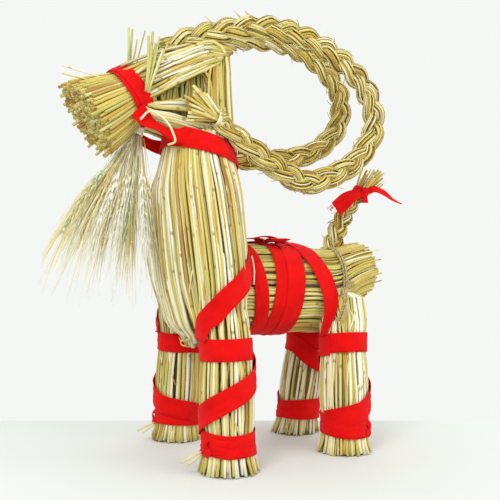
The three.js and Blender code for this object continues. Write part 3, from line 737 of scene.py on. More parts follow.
def flank(side, depth, back_rows, window_rows, rounding):
    """A line on the head's flank; depth is 0 at the back or top edge and 1 at the window."""
    back, window = np.array(back_rows, float), np.array(window_rows, float)
    at = back + (window - back) * depth + rng.normal(0, 0.5, back.shape)
    sunk = rng.uniform(0, 2.4)
    across = HEAD_HALF_WIDTH - rounding * max(0, 1 - depth) ** 3 - sunk
    return np.column_stack([np.full(len(at), side * across), at]), 1.4 + sunk


POST_BACK = [(-52, 384), (-56, 440), (-58, 488), (-59, 506)]
POST_WINDOW = [(-88, 396), (-90, 436), (-88, 466), (-86, 480)]
BAR_TOP = [(-50, 503), (-78, 510), (-126, 495), (-164, 480), (-192, 466)]
BAR_WINDOW = [(-78, 484), (-98, 470), (-130, 450), (-160, 431), (-180, 423)]
BAR_TAPER = np.array([0, 0, 0.5, 3.4, 8.5])  # the bar narrows so that the muzzle ribbon goes over it
WINDOW_SHADE = 0.55  # how much painted shade the second layer beside the window gets

for across in np.linspace(-0.9, 0.9, 21):
    path = fold_path(across + rng.uniform(-0.02, 0.02), rng.uniform(0.0, 0.035))
    straw(head_sheaf, path[int(rng.integers(0, 2)):], thickness())
# The second layer under the fold gets painted shade.
for across in np.linspace(-0.88, 0.88, 17):
    straw(head_sheaf, fold_path(across, 0.11), 2.0, sides=5, shade=0.35)
for side in (-1, 1):
    for depth in np.linspace(-0.02, 1.0, 17):
        line, buried = flank(side, depth + rng.uniform(-0.03, 0.03), POST_BACK, POST_WINDOW, 9)
        line[-1] += (0, rng.uniform(-2, 2), rng.uniform(-4, 3))
        straw(head_sheaf, curve(line, 12), thickness(), rng.uniform(0.45, 1), cut=(False, True),
              lies=(buried, side * X))
    for depth in np.linspace(0.0, 1.0, 17):
        line, buried = flank(side, depth + rng.uniform(-0.05, 0.05), BAR_TOP, BAR_WINDOW, 6)
        line[:, 0] += side * (np.linspace(0.9, 0, len(line)) - BAR_TAPER)
        line[0] += (0, rng.uniform(-7, 3), rng.uniform(-2, 3))
        straw(head_sheaf, curve(line, 12), thickness() * 0.95, cut=(True, False), lies=(buried, side * X))
    for rows in ((POST_BACK, POST_WINDOW), (BAR_TOP, BAR_WINDOW)):
        for depth in np.linspace(0.04, 0.97, 12):
            line, _ = flank(side, depth, *rows, 8)
            line = line - side * 4.5 * X
            if rows[0] is BAR_TOP:
                line[:, 0] -= side * BAR_TAPER
            straw(head_sheaf, curve(line, 10), 2.0, sides=5, shade=WINDOW_SHADE)
    # The straws at the window's edge of the fold get a little painted shade.
    for across in (0.9, 0.8, 0.7, 0.6):
        straw(head_sheaf, fold_path(side * across, 1.0), 1.9, shade=0.2)
print("with the fold:", head_sheaf.cell, "strands")

# %% [markdown]
# Slivers of leaf sheath lie loose along the slanting bar. Inside the window stand the straws of
# the bundle's middle, greyer with painted shade, in front of a heart of their own that is painted
# dark as shade.

# %% Loose slivers and the window
for _ in range(34):
    side = rng.choice([-1, 1])
    line, _ = flank(side, rng.uniform(0.1, 1.0), BAR_TOP, BAR_WINDOW, 5)
    line[:, 0] += side * (1.8 + np.linspace(0, 1, len(line)) * rng.uniform(-1, 1) - BAR_TAPER)
    line[:, 2] += np.linspace(-1, 1, len(line)) * rng.uniform(-6, 6)
    path = curve(line, 16)
    begin = int(rng.integers(0, 5))
    tone = rng.choice([0.02, 0.1, 0.4, 0.7])
    straw(head_sheaf, path[begin:begin + 9], rng.uniform(0.7, 1.7), tone, 5, flat=0.3, out=side * X)
# The window's straws get painted shade.
for side in (-1, 1):
    for y in np.linspace(-86, -156, 20):
        top = 474 + (y + 92) * 0.60
        x = side * (27.5 + rng.uniform(-2.5, 1.0))
        lean = rng.uniform(-4, 4)
        path = curve([(x, y, 404), (x, y + lean * 0.4, 440), (x, y + lean, top)], 7)
        straw(head_sheaf, path, 2.0, tone=rng.uniform(0.6, 0.95), shade=0.38)
WINDOW_HEART = [(-70, 400), (-160, 416), (-172, 446), (-120, 482), (-70, 500)]
heart(head_sheaf, np.array([[(x, y, z) for y, z in WINDOW_HEART] for x in (-22, 22)]))
print("with the window:", head_sheaf.cell, "strands")

# %% [markdown]
# Below the window the lowest straws run level from the ribbon to the cheek. In front of the
# ribbon all the straws come together and spread again into the muzzle, whose face is hundreds of
# open straw ends, none quite as long as the next.

# %% Jaw and muzzle
JAW = (  # y, z, half width and half height of the jaw, from the collar to the ribbon
    (-66, 410, 38, 27), (-92, 413, 37.5, 24), (-130, 417, 36, 15.5), (-160, 420, 32, 10), (-178, 430, 28, 10),
)
for angle in spread_angles(34, 20, 66):
    cos, sin = math.cos(angle), math.sin(angle)
    across, up = math.copysign(abs(cos) ** 0.55, cos), math.copysign(abs(sin) ** 0.6, sin)
    path = curve([(a * across, y, z + b * up) for y, z, a, b in JAW], 14)
    path[:, 2] += wander(14, 1.4)
    straw(head_sheaf, path, thickness(), lies=(rng.uniform(0.8, 2.6), unit(np.array([cos, 0, sin]))))

MUZZLE_TIE, MUZZLE_END = np.array([0, -175, 439.0]), np.array([0, -230, 404.0])
muzzle_ahead = unit(MUZZLE_END - MUZZLE_TIE)
muzzle_up = np.cross(muzzle_ahead, X)
MUZZLE_LENGTH = float(np.linalg.norm(MUZZLE_END - MUZZLE_TIE))
END_REACH = 48.0
FLARE_AT = [-24, 0, 12, 0.5 * MUZZLE_LENGTH, MUZZLE_LENGTH + 6]
for x, y in packed_disc(4.25, END_REACH, END_REACH):
    far = math.hypot(x, y) / END_REACH
    begin = -16 if far > 0.86 else MUZZLE_LENGTH * 0.45
    long = MUZZLE_LENGTH - 4 + rng.normal(0, 3.0) + 3.0 * y / END_REACH
    t = np.linspace(begin, min(long, MUZZLE_LENGTH + 5), 7 if begin < 0 else 3)
    reach = np.interp(t, FLARE_AT, [33, 33, 34.5, 41, 49]) - 1.7
    path = MUZZLE_TIE + t[:, None] * muzzle_ahead
    path = path + (reach / END_REACH)[:, None] * (x * X + y * muzzle_up)
    straw(head_sheaf, path, STRAW_RADIUS * rng.uniform(0.85, 1.2), rng.uniform(0.3, 1), 5, cut=(False, True))
for turn in spread_angles(1, 1, 62):
    t = np.linspace(-16, MUZZLE_LENGTH - 7 + rng.normal(0, 5), 8)
    reach = np.interp(t, FLARE_AT, [34, 34, 35, 42, 50]) - rng.uniform(1.2, 3)
    path = MUZZLE_TIE + t[:, None] * muzzle_ahead
    path = path + reach[:, None] * (math.cos(turn) * X + math.sin(turn) * muzzle_up)
    straw(head_sheaf, path, STRAW_RADIUS * rng.uniform(0.85, 1.15), rng.uniform(0.35, 1), cut=(False, True))
turns = np.linspace(0, 2 * math.pi, 20, endpoint=False)
rim = np.cos(turns)[:, None] * X + np.sin(turns)[:, None] * muzzle_up
sections = [MUZZLE_TIE + t * muzzle_ahead + reach * rim for t, reach in ((-30, 24), (0, 27), (45, 33))]
heart(head_sheaf, np.stack(sections))
print("muzzle", round(MUZZLE_LENGTH), "mm long; head, neck and forelegs:", head_sheaf.cell, "strands")

# %% [markdown]
# The stray straws give the goat its liveliness: two long ones stick out over the muzzle, one has
# come out at the shoulder, and two short stubs stand off each forefoot at the ankle ribbon, where
# a turn of ribbon missed them.

# %% Stray straws at the head and the feet
straw(head_sheaf, curve([(20, -176, 446), (20, -215, 452), (20, -259, 460)], 6), 0.9, tone=0.1)
straw(head_sheaf, curve([(24, -176, 441), (22, -215, 445), (20, -259, 451)], 6), 1.0, tone=0.3)
straw(head_sheaf, curve([(63, -43, 247), (68, -42, 232), (69, -43, 212)], 5), 0.9, tone=0.0)
for bundle in forelegs.values():
    middle = bundle.row(ANKLE_HEIGHT + 3)[:3]
    for k in range(2):
        start = middle + (0, -27, -14 + 2 * k)
        end = middle + np.array((rng.uniform(-3, 3), -50 - 7 * k, -27 + 4 * k))
        straw(head_sheaf, bent(start, end, (0, 0, 1), 4), 1.3, tone=0.2, cut=(False, True))
print("with the strays:", head_sheaf.cell, "strands")

# %% [markdown]
# The second bundle is the trunk. Its straws run back from the neck, are pinched by the twine over
# the rump and end in an open brush. The hind legs start inside it, come out at the hips, bend down
# and are tied like the forelegs.

# %% Trunk
body_sheaf = Sheaf()
TRUNK_FRONT = -66.0


def trunk_path(angle, depth, end, count=22):
    """The way of one straw from inside the neck to the brush at the rump."""
    y = np.linspace(TRUNK_FRONT, end, count)
    path = trunk.at(y, angle + wander(count, 0.03), -depth)
    path[:, 1] = y
    return path


for angle in spread_angles(57, 57, 124):
    depth = lie()
    path = trunk_path(angle, depth, RUMP_END + rng.normal(0, 2.6))
    lies = (depth, trunk.outward(angle))
    straw(body_sheaf, path, thickness(), 0.3 + 0.7 * rng.uniform(), cut=(False, True), lies=lies)
for angle in spread_angles(52, 52, 84):
    path = trunk_path(angle, UNDER, RUMP_END - 4 + rng.normal(0, 2), 14)
    straw(body_sheaf, path, 2.0, sides=5, lies=(UNDER, trunk.outward(angle)))
for x, z in packed_disc(4.3, 55, 36):
    begin = trunk.row(104.0)[:3] + 0.9 * x * X + z * Z
    end = trunk.row(RUMP_END)[:3] + x * X + z * Z + rng.normal(0, 2.6) * Y
    radius = STRAW_RADIUS * rng.uniform(0.85, 1.15)
    straw(body_sheaf, [begin, end], radius, rng.uniform(0.2, 1), cut=(False, True))
heart_of(body_sheaf, trunk, -58, 126)
slivers(body_sheaf, trunk, -40, 140, 70, 0.06)
print("trunk:", body_sheaf.cell, "strands")

# %% [markdown]
# A hind leg's straws lie inside the trunk, come over the hip and run down to the foot. A few thin
# green blades and slivers stick out of the rump.

# %% Hind legs and rump
def hind_path(bundle, side, own, depth, foot, count=24):
    """From inside the trunk over the hip and down to the foot."""
    z = np.linspace(197, foot, count - 6)
    down = bundle.at(np.clip(z, 0, 196), own + wander(len(z), 0.08), frayed(z) - depth)
    down[:, 2] = z
    hip = down[0]
    inside = np.array([
        hip + (-side * 18 * (0.4 + 0.6 * abs(math.cos(own))), -50, 4),
        hip + (-side * 11 * (0.4 + 0.6 * abs(math.cos(own))), -30, 5),
        hip + (-side * 4, -12, 4.5),
    ])
    return curve(np.concatenate([inside, down]), count)


for name, side in SIDES:
    bundle = hind_legs[name]
    for own in spread_angles(31, 31, 66):
        depth = lie()
        path = hind_path(bundle, side, own, depth, cut_height())
        lies = (0.85 * depth, bundle.outward(own))
        straw(body_sheaf, path, thickness(), faded(), cut=(False, True), lies=lies)
    for own in spread_angles(27, 27, 40):
        path = hind_path(bundle, side, own, UNDER, rng.uniform(1, 4), 18)
        straw(body_sheaf, path, 2.0, sides=5, lies=(UNDER, bundle.outward(own)))
    fill_leg(body_sheaf, bundle, 190, 186, 90)

BLADES = ((-0.1, 0.86), (0.35, 0.84), (-0.35, 0.88), (0.7, 0.2), (2.6, 0.85), (3.3, 0.3))  # angle, tone
for angle, tone in BLADES:
    start = trunk.at(100.0, angle, 0.2)
    middle = trunk.at(128.0, angle, 2.0)
    end = trunk.at(RUMP_END, angle, 5.0) + rng.uniform(4, 13) * Y + rng.uniform(-3, 3) * Z
    straw(body_sheaf, curve([start, middle, end], 6), 1.0, tone=tone, flat=0.5, out=trunk.outward(angle))
print("trunk and hind legs:", body_sheaf.cell, "strands")

# %% [markdown]
# Horns and tail are plaits of three strands, and each strand is a hank of flattened, moistened
# straws. The middle of a strand swings from edge to edge, once over and once under its
# neighbours: a sine across the plait and a sine of twice the pace through its thickness. The
# straws are flat strips laid round the strand. They end now and then, and their tips stand off.

# %% Plaits
STRIP_FLATNESS = 0.34


def strand_strips(sheaf, middle, across, up, size, reach, deep, strips):
    """The flattened straws round one strand, each a few steps long and loose at its tips."""
    count = len(middle)
    for strip in range(strips):
        base = 2 * math.pi * strip / strips + rng.uniform(-0.3, 0.3)
        half = rng.uniform(0.6, 1.25)
        begin = int(rng.integers(-50, 0))
        while begin < count - 3:
            end = begin + int(rng.integers(28, 62))
            part = slice(max(begin, 0), min(end, count))
            n = part.stop - part.start
            begin = end - 2
            if n < 5:
                continue
            angle = base + rng.uniform(-0.2, 0.2) + wander(n, 0.2)
            cos, sin = np.cos(angle)[:, None], np.sin(angle)[:, None]
            sunk = 0.9 - rng.uniform(0, 1.3)
            near = across[part] * cos * (reach - sunk) + up[part] * sin * (deep - sunk)
            out = unit(across[part] * cos * deep + up[part] * sin * reach)
            path = middle[part] + size[part] * near
            lifted = np.zeros(n)
            if rng.uniform() < 0.5:
                lifted[-2:] = (0.5, rng.uniform(1, 3.2))
            if rng.uniform() < 0.25:
                lifted[:2] = (rng.uniform(0.6, 1.6), 0.3)
            path = path + lifted[:, None] * out
            radius = half * size[part][:, 0] * np.ones(n)
            radius[0] *= 0.6
            radius[-1] *= rng.uniform(0.3, 0.8)
            straw(sheaf, path, radius, flat=STRIP_FLATNESS, out=out)


def plait(sheaf, points, sideways, width, height, period, strips, taper, step=4.0, strays=40):
    """A three-strand plait along a line, as many flattened straws as strips in each strand."""
    length = length_of(curve(points, 400))
    line = curve(points, int(length / step) + 1)
    count = len(line)
    s = np.linspace(0, length, count)
    ahead = unit(np.gradient(line, axis=0))
    broad = unit(np.cross(ahead, sideways))
    thin = np.cross(broad, ahead)
    size = taper(s / length)[:, None]
    reach, deep = 0.255 * width, 0.27 * height
    swing, lift = width / 2 - reach, height / 2 - deep
    for strand in range(3):
        phase = 2 * math.pi * (s / period + strand / 3)
        middle = line + size * (
            (swing * np.sin(phase))[:, None] * broad + (lift * np.sin(2 * phase))[:, None] * thin
        )
        along = unit(np.gradient(middle, axis=0))
        across = unit(np.cross(thin, along))
        strand_strips(sheaf, middle, across, np.cross(along, across), size, reach, deep, strips)
        # The strand's core, painted dark as shade where it shows between the strips.
        straw(sheaf, middle[::2], 0.7 * min(reach, deep) * size[::2, 0], shade=0.55, tone=0.6)
    for _ in range(strays):
        at = int(rng.integers(4, count - 5))
        turn = rng.uniform(0, 2 * math.pi)
        out = math.cos(turn) * broad[at] + math.sin(turn) * thin[at]
        root = line[at] + size[at] * (
            0.42 * width * math.cos(turn) * broad[at] + 0.42 * height * math.sin(turn) * thin[at]
        )
        reach_out = unit(rng.choice([-1, 1]) * ahead[at] * rng.uniform(0.6, 1.4) + out)
        tip = root + reach_out * rng.uniform(6, 15)
        path = bent(root, tip, 0.8 * out, 4)
        straw(sheaf, path, [0.8, 0.6, 0.5, 0.25], sides=4, flat=0.5, out=np.cross(reach_out, out))
    return line


print("a plaited strip is", STRIP_FLATNESS, "as thick as wide")

# %% [markdown]
# Each horn starts at the brow, goes back over the trunk, round and forward again to the cheek,
# where a strip of straw binds it. Beyond that tie its loose ends fan out. The two horns are not
# quite alike: the right one rises a little higher.

# %% Horns
HORN_LINES = {
    "left": [
        (18, -140, 495), (26, -96, 515), (33, -48, 530), (38, 0, 536), (40, 50, 528), (42, 100, 505),
        (42, 136, 472), (42, 149, 430), (42, 126, 384), (43, 84, 356), (43, 40, 344), (46, 0, 359),
        (49, -40, 382), (47, -72, 405), (45, -80, 412),
    ],
    "right": [
        (-18, -136, 498), (-26, -92, 519), (-31, -42, 538), (-34, 10, 548), (-34, 62, 546),
        (-33, 108, 525), (-32, 140, 486), (-33, 137, 440), (-35, 104, 405), (-39, 56, 389),
        (-46, 8, 386), (-50, -36, 393), (-48, -70, 408), (-46, -80, 412),
    ],
}


def horn_taper(u):
    """How full the plait is at a share of its length; it is drawn in at both ends."""
    return 1 - 0.3 * np.clip((u - 0.86) / 0.14, 0, 1) - 0.18 * np.clip((0.05 - u) / 0.05, 0, 1)


def wrapped(sheaf, centre, axis, radius, width, turns, strip=1.3):
    """A strip of straw wound round a tie."""
    axis = unit(np.array(axis, float))
    first = unit(np.cross(axis, Y + 0.3 * Z))
    second = np.cross(axis, first)
    for k in range(turns):
        a = np.linspace(0, 2 * math.pi, 20)
        offset = (k / max(turns - 1, 1) - 0.5) * width
        spokes = np.cos(a)[:, None] * first + np.sin(a)[:, None] * second
        tilt = rng.uniform(-0.12, 0.12) * radius * np.sin(a + rng.uniform(0, 6))
        path = np.asarray(centre) + spokes * (radius + rng.uniform(0, 0.7)) + (offset + tilt)[:, None] * axis
        straw(sheaf, path, strip, tone=rng.uniform(0.0, 0.3), flat=0.45, out=spokes)


horn_sheaves = {}
for name, side in SIDES:
    sheaf = horn_sheaves[name] = Sheaf()
    line = plait(sheaf, HORN_LINES[name], X, 30.5, 22, 84, 28, horn_taper, strays=80)
    end = line[-1]
    wrapped(sheaf, end - (0, -3, 1), (0, -0.93, 0.36), 8.0, 8, 7)
    for _ in range(7):
        root = end + (side * 8, 3, rng.uniform(-6, 6))
        tip = root + (side * rng.uniform(0, 5), rng.uniform(-4, 17), rng.uniform(-7, 5))
        straw(sheaf, bent(root, tip, (side * 1.5, 0, 1), 5), rng.uniform(0.4, 0.9), sides=4)
    for _ in range(44):
        rise = rng.uniform(-0.12, 0.95)
        away = np.array((side * rng.uniform(-0.02, 0.14), -math.cos(rise), math.sin(rise)))
        root = end + (side * rng.uniform(-3, 3), 4, rng.uniform(-4, 4)) - 3 * away
        long = rng.uniform(38, 60) - 12 * abs(rise - 0.35)
        tip = root + away * long
        middle = root + away * long * 0.5 + (side * rng.uniform(0.2, 2.2), 0, 0)
        half = rng.uniform(1.2, 2.2)
        straw(sheaf, curve([root, middle, tip], 6), [half * 0.7, half, half, half, half, half * 0.9],
              flat=0.55, out=side * X + rng.normal(0, 0.3, 3), cut=(False, True))
    print(name, "horn:", sheaf.cell, "strands")

# %% [markdown]
# The tail is a shorter plait that stands up at the back of the trunk, with a brush of cut ends
# above its ribbon.

# %% Tail
tail_sheaf = Sheaf()
TAIL_TIE = np.array((0, 152.0, 340.0))
TAIL_LINE = [(0, 98, 245), (0, 105, 258), (0, 115, 285), (0, 131, 314), tuple(TAIL_TIE)]
plait(tail_sheaf, TAIL_LINE, X, 27, 21, 58, 24, lambda u: 1.12 - 0.42 * u * u, step=3.0, strays=16)
tail_ahead = unit(np.array((0, 0.52, 0.85)))
for _ in range(46):
    turn, out = rng.uniform(0, 2 * math.pi), math.sqrt(rng.uniform())
    spoke = math.cos(turn) * X + math.sin(turn) * np.cross(tail_ahead, X)
    root = TAIL_TIE - 6 * tail_ahead + 4.5 * out * spoke
    tip = TAIL_TIE + tail_ahead * rng.uniform(24, 40) + 19 * out * spoke + (0, 5, -1)
    straw(tail_sheaf, bent(root, tip, out * spoke, 5), rng.uniform(1.2, 2.0),
          flat=0.7, out=spoke, cut=(False, True))
print("tail:", tail_sheaf.cell, "strands")

# %% [markdown]
# A few pale straws are tucked under the muzzle ribbon so that they stand up before the brow, like
# a forelock. They were cut greener than the rest.

# %% Forelock
forelock_sheaf = Sheaf()
FORELOCK = [  # the two ends of each straw
    ((42, -168, 436), (42, -165, 500)), ((42.5, -168, 436), (43, -160, 505)),
    ((43, -167, 435), (43, -152, 501)), ((43.5, -166, 434), (43, -142, 495)),
    ((42, -166, 436), (42, -156, 493)), ((43, -165, 435), (42, -147, 488)),
    ((12, -182, 470), (10, -180, 519)), ((9, -178, 472), (8, -175, 518)),
    ((12, -172, 472), (10, -160, 518)), ((5, -176, 472), (4, -168, 508)),
]
for foot, tip in FORELOCK:
    path = bent(np.array(foot, float), np.array(tip, float), (0.8, rng.uniform(-1, 1), 0), 7)
    straw(forelock_sheaf, path, rng.uniform(0.9, 1.7), cut=(False, True))
print("forelock:", forelock_sheaf.cell, "straws")

# %% [markdown]
# The beard is ten ears of bearded rye on their stems, tied in a bunch under the muzzle. An ear is
# a zigzag stem with plump husks to its left and right, and each husk carries a long stiff bristle,
# the awn, much thinner than a straw. The husks are short tubes that swell and close again.

# %% Beard
beard_sheaf = Sheaf()
AWN_LENGTH, HUSKS = 58.0, 38
BEARD_ROOT = np.array((0, -164.0, 404.0))
BEARD_REACH = -281.0  # no awn stands out further forward than this
EAR_TIPS = ((-147, 258), (-257, 272))  # y and z of the fan's two outermost tips
EAR_TONES = [0.55, 0.1, 0.62, 0.95, 0.05, 0.7, 0.15, 0.6, 0.35, 0.9]  # some ripe, some greyish green
STEM_POINTS = 60


def ear_line(share, sway):
    """The stem and ear of one place in the fan: almost straight, with a little fall at the end."""
    tip = np.array((sway, *(near + share * (far - near) for near, far in zip(*EAR_TIPS))))
    span = tip - BEARD_ROOT
    bow = np.array((0, -3.5, 2.0)) * share
    between = [BEARD_ROOT + way * span + bow for way in (0.35, 0.7)]
    return curve([BEARD_ROOT + 0.1 * sway * X, *between, tip], STEM_POINTS)


def held_back(start, end):
    """The tip of an awn, shortened if it would stand out further forward than the beard reaches."""
    ahead = min(float(end[1] - start[1]), -1e-6)
    return start + (end - start) * min(1.0, (BEARD_REACH - start[1]) / ahead)


def husk_and_awn(root, ahead, away, size, tone):
    """One plump husk and the long stiff bristle on its tip."""
    direction = unit(ahead + 0.3 * away)
    tip = root + direction * 10.5 * size
    middle = root + direction * 4.5 * size + away * 1.1
    radius = np.array([0.4, 1.5, 1.75, 1.2, 0.3]) * size
    straw(beard_sheaf, curve([root, middle, tip], 5), radius, tone + rng.normal(0, 0.05), 5, 0.7, away)
    long = AWN_LENGTH * rng.uniform(0.7, 1.35)
    spread = unit(ahead + 0.11 * away + rng.normal(0, 0.035, 3))
    end = held_back(tip, tip + long * unit(spread + 0.1 * np.array((0, 0, -1.0))))
    path = bent(tip, end, 0.025 * long * Z, 5)
    straw(beard_sheaf, path, [0.42, 0.38, 0.3, 0.22, 0.1], sides=3, tone=0.6 * tone + rng.uniform(0, 0.15))


for k, ear_tone in enumerate(EAR_TONES):
    line = ear_line(k / (len(EAR_TONES) - 1), 11 * math.sin(2.2 * k))
    straw(beard_sheaf, line[::3], 0.95, sides=5, tone=ear_tone)
    ear = line[int(STEM_POINTS * rng.uniform(0.36, 0.46)):]
    ahead = unit(np.gradient(ear, axis=0))
    turned = rng.uniform(0, math.pi)
    for j in range(HUSKS):
        at = min(int(j / HUSKS * len(ear)), len(ear) - 1)
        flip = 1 if j % 2 else -1
        flank_turn = turned + 0.9 * (j % 3 - 1)
        away = math.cos(flank_turn) * X + math.sin(flank_turn) * Y
        away = unit(away - (away @ ahead[at]) * ahead[at]) * flip
        size = rng.uniform(1.0, 1.3) * (1 - 0.3 * j / HUSKS)
        husk_and_awn(ear[at] + 0.9 * away, ahead[at], away, size, ear_tone)
print("ten ears:", beard_sheaf.cell, "strands")

# %% [markdown]
# Awns, leaf and broken bristles fill the fan between the stems, as fine as hair at their tips. A
# strip of straw ties the bunch at its root.

# %% Fine bristles of the beard
for _ in range(380):
    share = rng.uniform() ** 0.85
    line = ear_line(share, rng.normal(0, 7))
    begin = int(STEM_POINTS * rng.uniform(0.05, 0.75))
    root = line[begin] + rng.normal(0, 2.0, 3)
    way = unit(line[-1] - line[begin] + rng.normal(0, 5.0, 3))
    long = min(rng.uniform(45, 95), 1.22 * np.linalg.norm(line[-1] - root) + 34)
    aim = held_back(root, root + long * way + (0, 0, -2.0))
    path = bent(root, aim, rng.normal(0, 0.8, 3), 5)
    straw(beard_sheaf, path, [0.48, 0.42, 0.32, 0.2, 0.1], sides=3, tone=rng.uniform(0, 0.8))
wrapped(beard_sheaf, BEARD_ROOT + (0, -1, -5), (0, 0.35, 1), 5.4, 7, 6)
print("beard:", beard_sheaf.cell, "strands")

# %% [markdown]
# The ribbon is a strip of plain woven cotton, 25 mm wide. It is pulled tight, so it follows the
# straw, but along its length it puckers into a few soft folds. A strip is made from its two edges
# and the outward direction: points between the edges are pushed out of the straw, raised into
# folds, and closed into a thin shell with a real thickness. Its length is measured as it is made,
# because a ribbon is cut from the roll before it is tied.

# %% Cloth strips
RIBBON_WIDTH = 25.0
CLOTH_THICKNESS = 0.7
DRIFT_SPAN, PUCKER_SPAN = 60, 38  # how far apart the folds' sideways turns and their tops are
STRIP_SEED = 40.0  # how far apart the weave's random spots are from strip to strip


def puckers(run, total, v, folds):
    """How far each point of a strip is raised: soft ridges along it that drift and come and go."""
    turn = 2 * math.pi * run / total
    laps = max(1, round(total / DRIFT_SPAN)), max(1, round(total / PUCKER_SPAN))
    phases = rng.uniform(0, 2 * math.pi, 5)
    drift = 0.16 * np.sin(laps[0] * turn + phases[0])
    ridge = np.sin(2 * math.pi * (2.3 * v[None, :] + drift[:, None]) + phases[1])
    fine = np.sin(2 * math.pi * (4.6 * v[None, :] - 1.4 * drift[:, None]) + phases[2])
    ridge = np.maximum(0, ridge) ** 2 + 0.35 * np.maximum(0, fine) ** 2
    size = 0.5 + 0.35 * np.sin(laps[1] * turn + phases[3]) + 0.15 * np.sin(2 * laps[1] * turn + phases[4])
    return folds * ridge * size[:, None]


def cloth(sheaf, left, right, out, closed=False, folds=0.8, hold=(), across=11):
    """A woven strip between two edge lines; hold lists (bundle, lift) pairs it lies on."""
    left, right, out = (np.asarray(v, float) for v in (left, right, out))
    count = len(left)
    v = np.linspace(0, 1, across)
    grid = left[:, None] * (1 - v)[None, :, None] + right[:, None] * v[None, :, None]
    for bundle, lift in hold:
        grid = bundle.clear(grid, lift)
    gaps = np.linalg.norm(np.diff(grid[:, across // 2], axis=0), axis=1)
    run = np.concatenate([[0], np.cumsum(gaps)])
    total = run[-1] + (np.linalg.norm(grid[0, across // 2] - grid[-1, across // 2]) if closed else 0)
    grid = grid + puckers(run, total, v, folds)[..., None] * unit(out)[:, None]
    if closed:
        along = np.roll(grid, -1, 0) - np.roll(grid, 1, 0)
    else:
        along = np.gradient(grid, axis=0)
    normal = unit(np.cross(along, np.gradient(grid, axis=1)))
    way = 1.0 if (normal * out[:, None]).sum() > 0 else -1.0
    normal = way * normal
    section = np.concatenate([grid + CLOTH_THICKNESS * normal, grid[:, ::-1]], axis=1)
    sides = 2 * across
    faces, uv = ring_faces(count + (1 if closed else 0), sides)
    faces = faces % (count * sides)
    if not closed:
        j = np.arange(across - 1)
        lid = np.stack([j, sides - 1 - j, sides - 2 - j, j + 1], 1)
        lids = np.concatenate([lid, (count - 1) * sides + lid[:, ::-1]])
        faces = np.concatenate([faces, lids])
        lid_uv = np.array([(0.0, 0.0), (0.02, 0.0), (0.02, 0.02), (0.0, 0.02)])
        uv = np.concatenate([uv, np.tile(lid_uv, (len(lids), 1, 1))])
    if way > 0:
        faces = faces[:, ::-1]
        uv = uv[:, ::-1]
    width = np.linalg.norm(right - left, axis=1)
    both = np.concatenate([v, v[::-1]])
    grain = np.stack([
        np.broadcast_to(run[:, None], (count, sides)), width[:, None] * both[None, :],
        np.full((count, sides), STRIP_SEED * sheaf.cell),
    ], 2) * MM
    sheaf.add(section.reshape(-1, 3), faces, uv, grain.reshape(-1, 3), rng.uniform(), 0.0)
    sheaf.area = sheaf.area + float((width * np.gradient(run)).sum()) + width[0] * (total - run[-1])


print("ribbon", RIBBON_WIDTH, "mm wide and", CLOTH_THICKNESS, "mm thick")

# %% [markdown]
# Ribbon is used in three ways here: a closed turn round a bundle, a run along a line, and a knot,
# which is two short turns across each other with two stub ends.

# %% Turns, runs and knots
def band(sheaf, bundle, centre, lift, width=RIBBON_WIDTH, lean=0.0, lean_angle=0.0, folds=0.8, hold=(),
         count=72):
    """A turn of ribbon round a bundle; lean sets how much further along it lies at one angle."""
    angle = np.linspace(0, 2 * math.pi, count, endpoint=False)
    middle = centre + lean * np.cos(angle - lean_angle) + 0.5 * np.sin(2 * angle + rng.uniform(0, 6))
    left = bundle.at(middle - width / 2, angle, lift)
    right = bundle.at(middle + width / 2, angle, lift)
    cloth(sheaf, left, right, bundle.outward(angle), True, folds, ((bundle, lift), *hold))


def laid(sheaf, points, outs, count, width=RIBBON_WIDTH, folds=0.8, hold=(), across=11):
    """A ribbon along a line of points, each with its outward direction; widths may change."""
    line = curve(points, count)
    spots = np.linspace(0, 1, len(outs))
    share = np.linspace(0, 1, count)
    out = unit(np.stack([np.interp(share, spots, column) for column in np.array(outs, float).T], 1))
    widths = np.interp(share, np.linspace(0, 1, np.size(width)), np.ravel(width))
    half = unit(np.cross(unit(np.gradient(line, axis=0)), out)) * (widths / 2)[:, None]
    cloth(sheaf, line - half, line + half, out, False, folds, hold, across)


def knot(sheaf, centre, out, up, size=1.0):
    """A small tied lump: two short turns of ribbon crossing each other, and two stub ends."""
    out, up = unit(np.array(out, float)), unit(np.array(up, float))
    side = np.cross(up, out)
    for lean, reach, width in ((0.35, 7.5, 9), (-0.9, 6.5, 8)):
        a = np.linspace(0, 2 * math.pi, 26, endpoint=False)
        long = unit(up + lean * side)
        ring = np.asarray(centre) + size * (
            reach * np.cos(a)[:, None] * long + 3.4 * np.sin(a)[:, None] * out
        )
        ring_out = unit(np.cos(a)[:, None] * long * 0.5 + np.sin(a)[:, None] * out)
        half = unit(np.cross(long, out)) * width * size / 2
        cloth(sheaf, ring - half, ring + half, ring_out, True, 0.7, (), 7)
    for sign in (-1, 1):
        stub = [(0, 0, 2.0), (sign * 5, -7, 2.2), (sign * 9, -13, 0.8)]
        points = [np.asarray(centre) + size * np.array(p) @ np.stack([side, up, out]) for p in stub]
        widths = (6 * size, 11 * size, 12 * size)
        laid(sheaf, points, [out, out + sign * 0.5 * side, out], 9, widths, 0.7, (), 7)


print("a knot is made of 4 strips")

# %% [markdown]
# Each leg's ribbon makes a turn under the body, crosses the calf and ends in two turns and a knot
# at the ankle. The foreleg's ribbon also climbs over the chest to the place where trunk and neck
# are lashed together, and the hind leg's starts on the back, under the bow.

# %% Leg ribbons
ribbons = {}
WINDING = ([0, 0.14, 0.28, 0.52, 0.76, 1], [-0.04, 0.0, 0.24, 0.53, 0.86, 1])  # turn done, height done


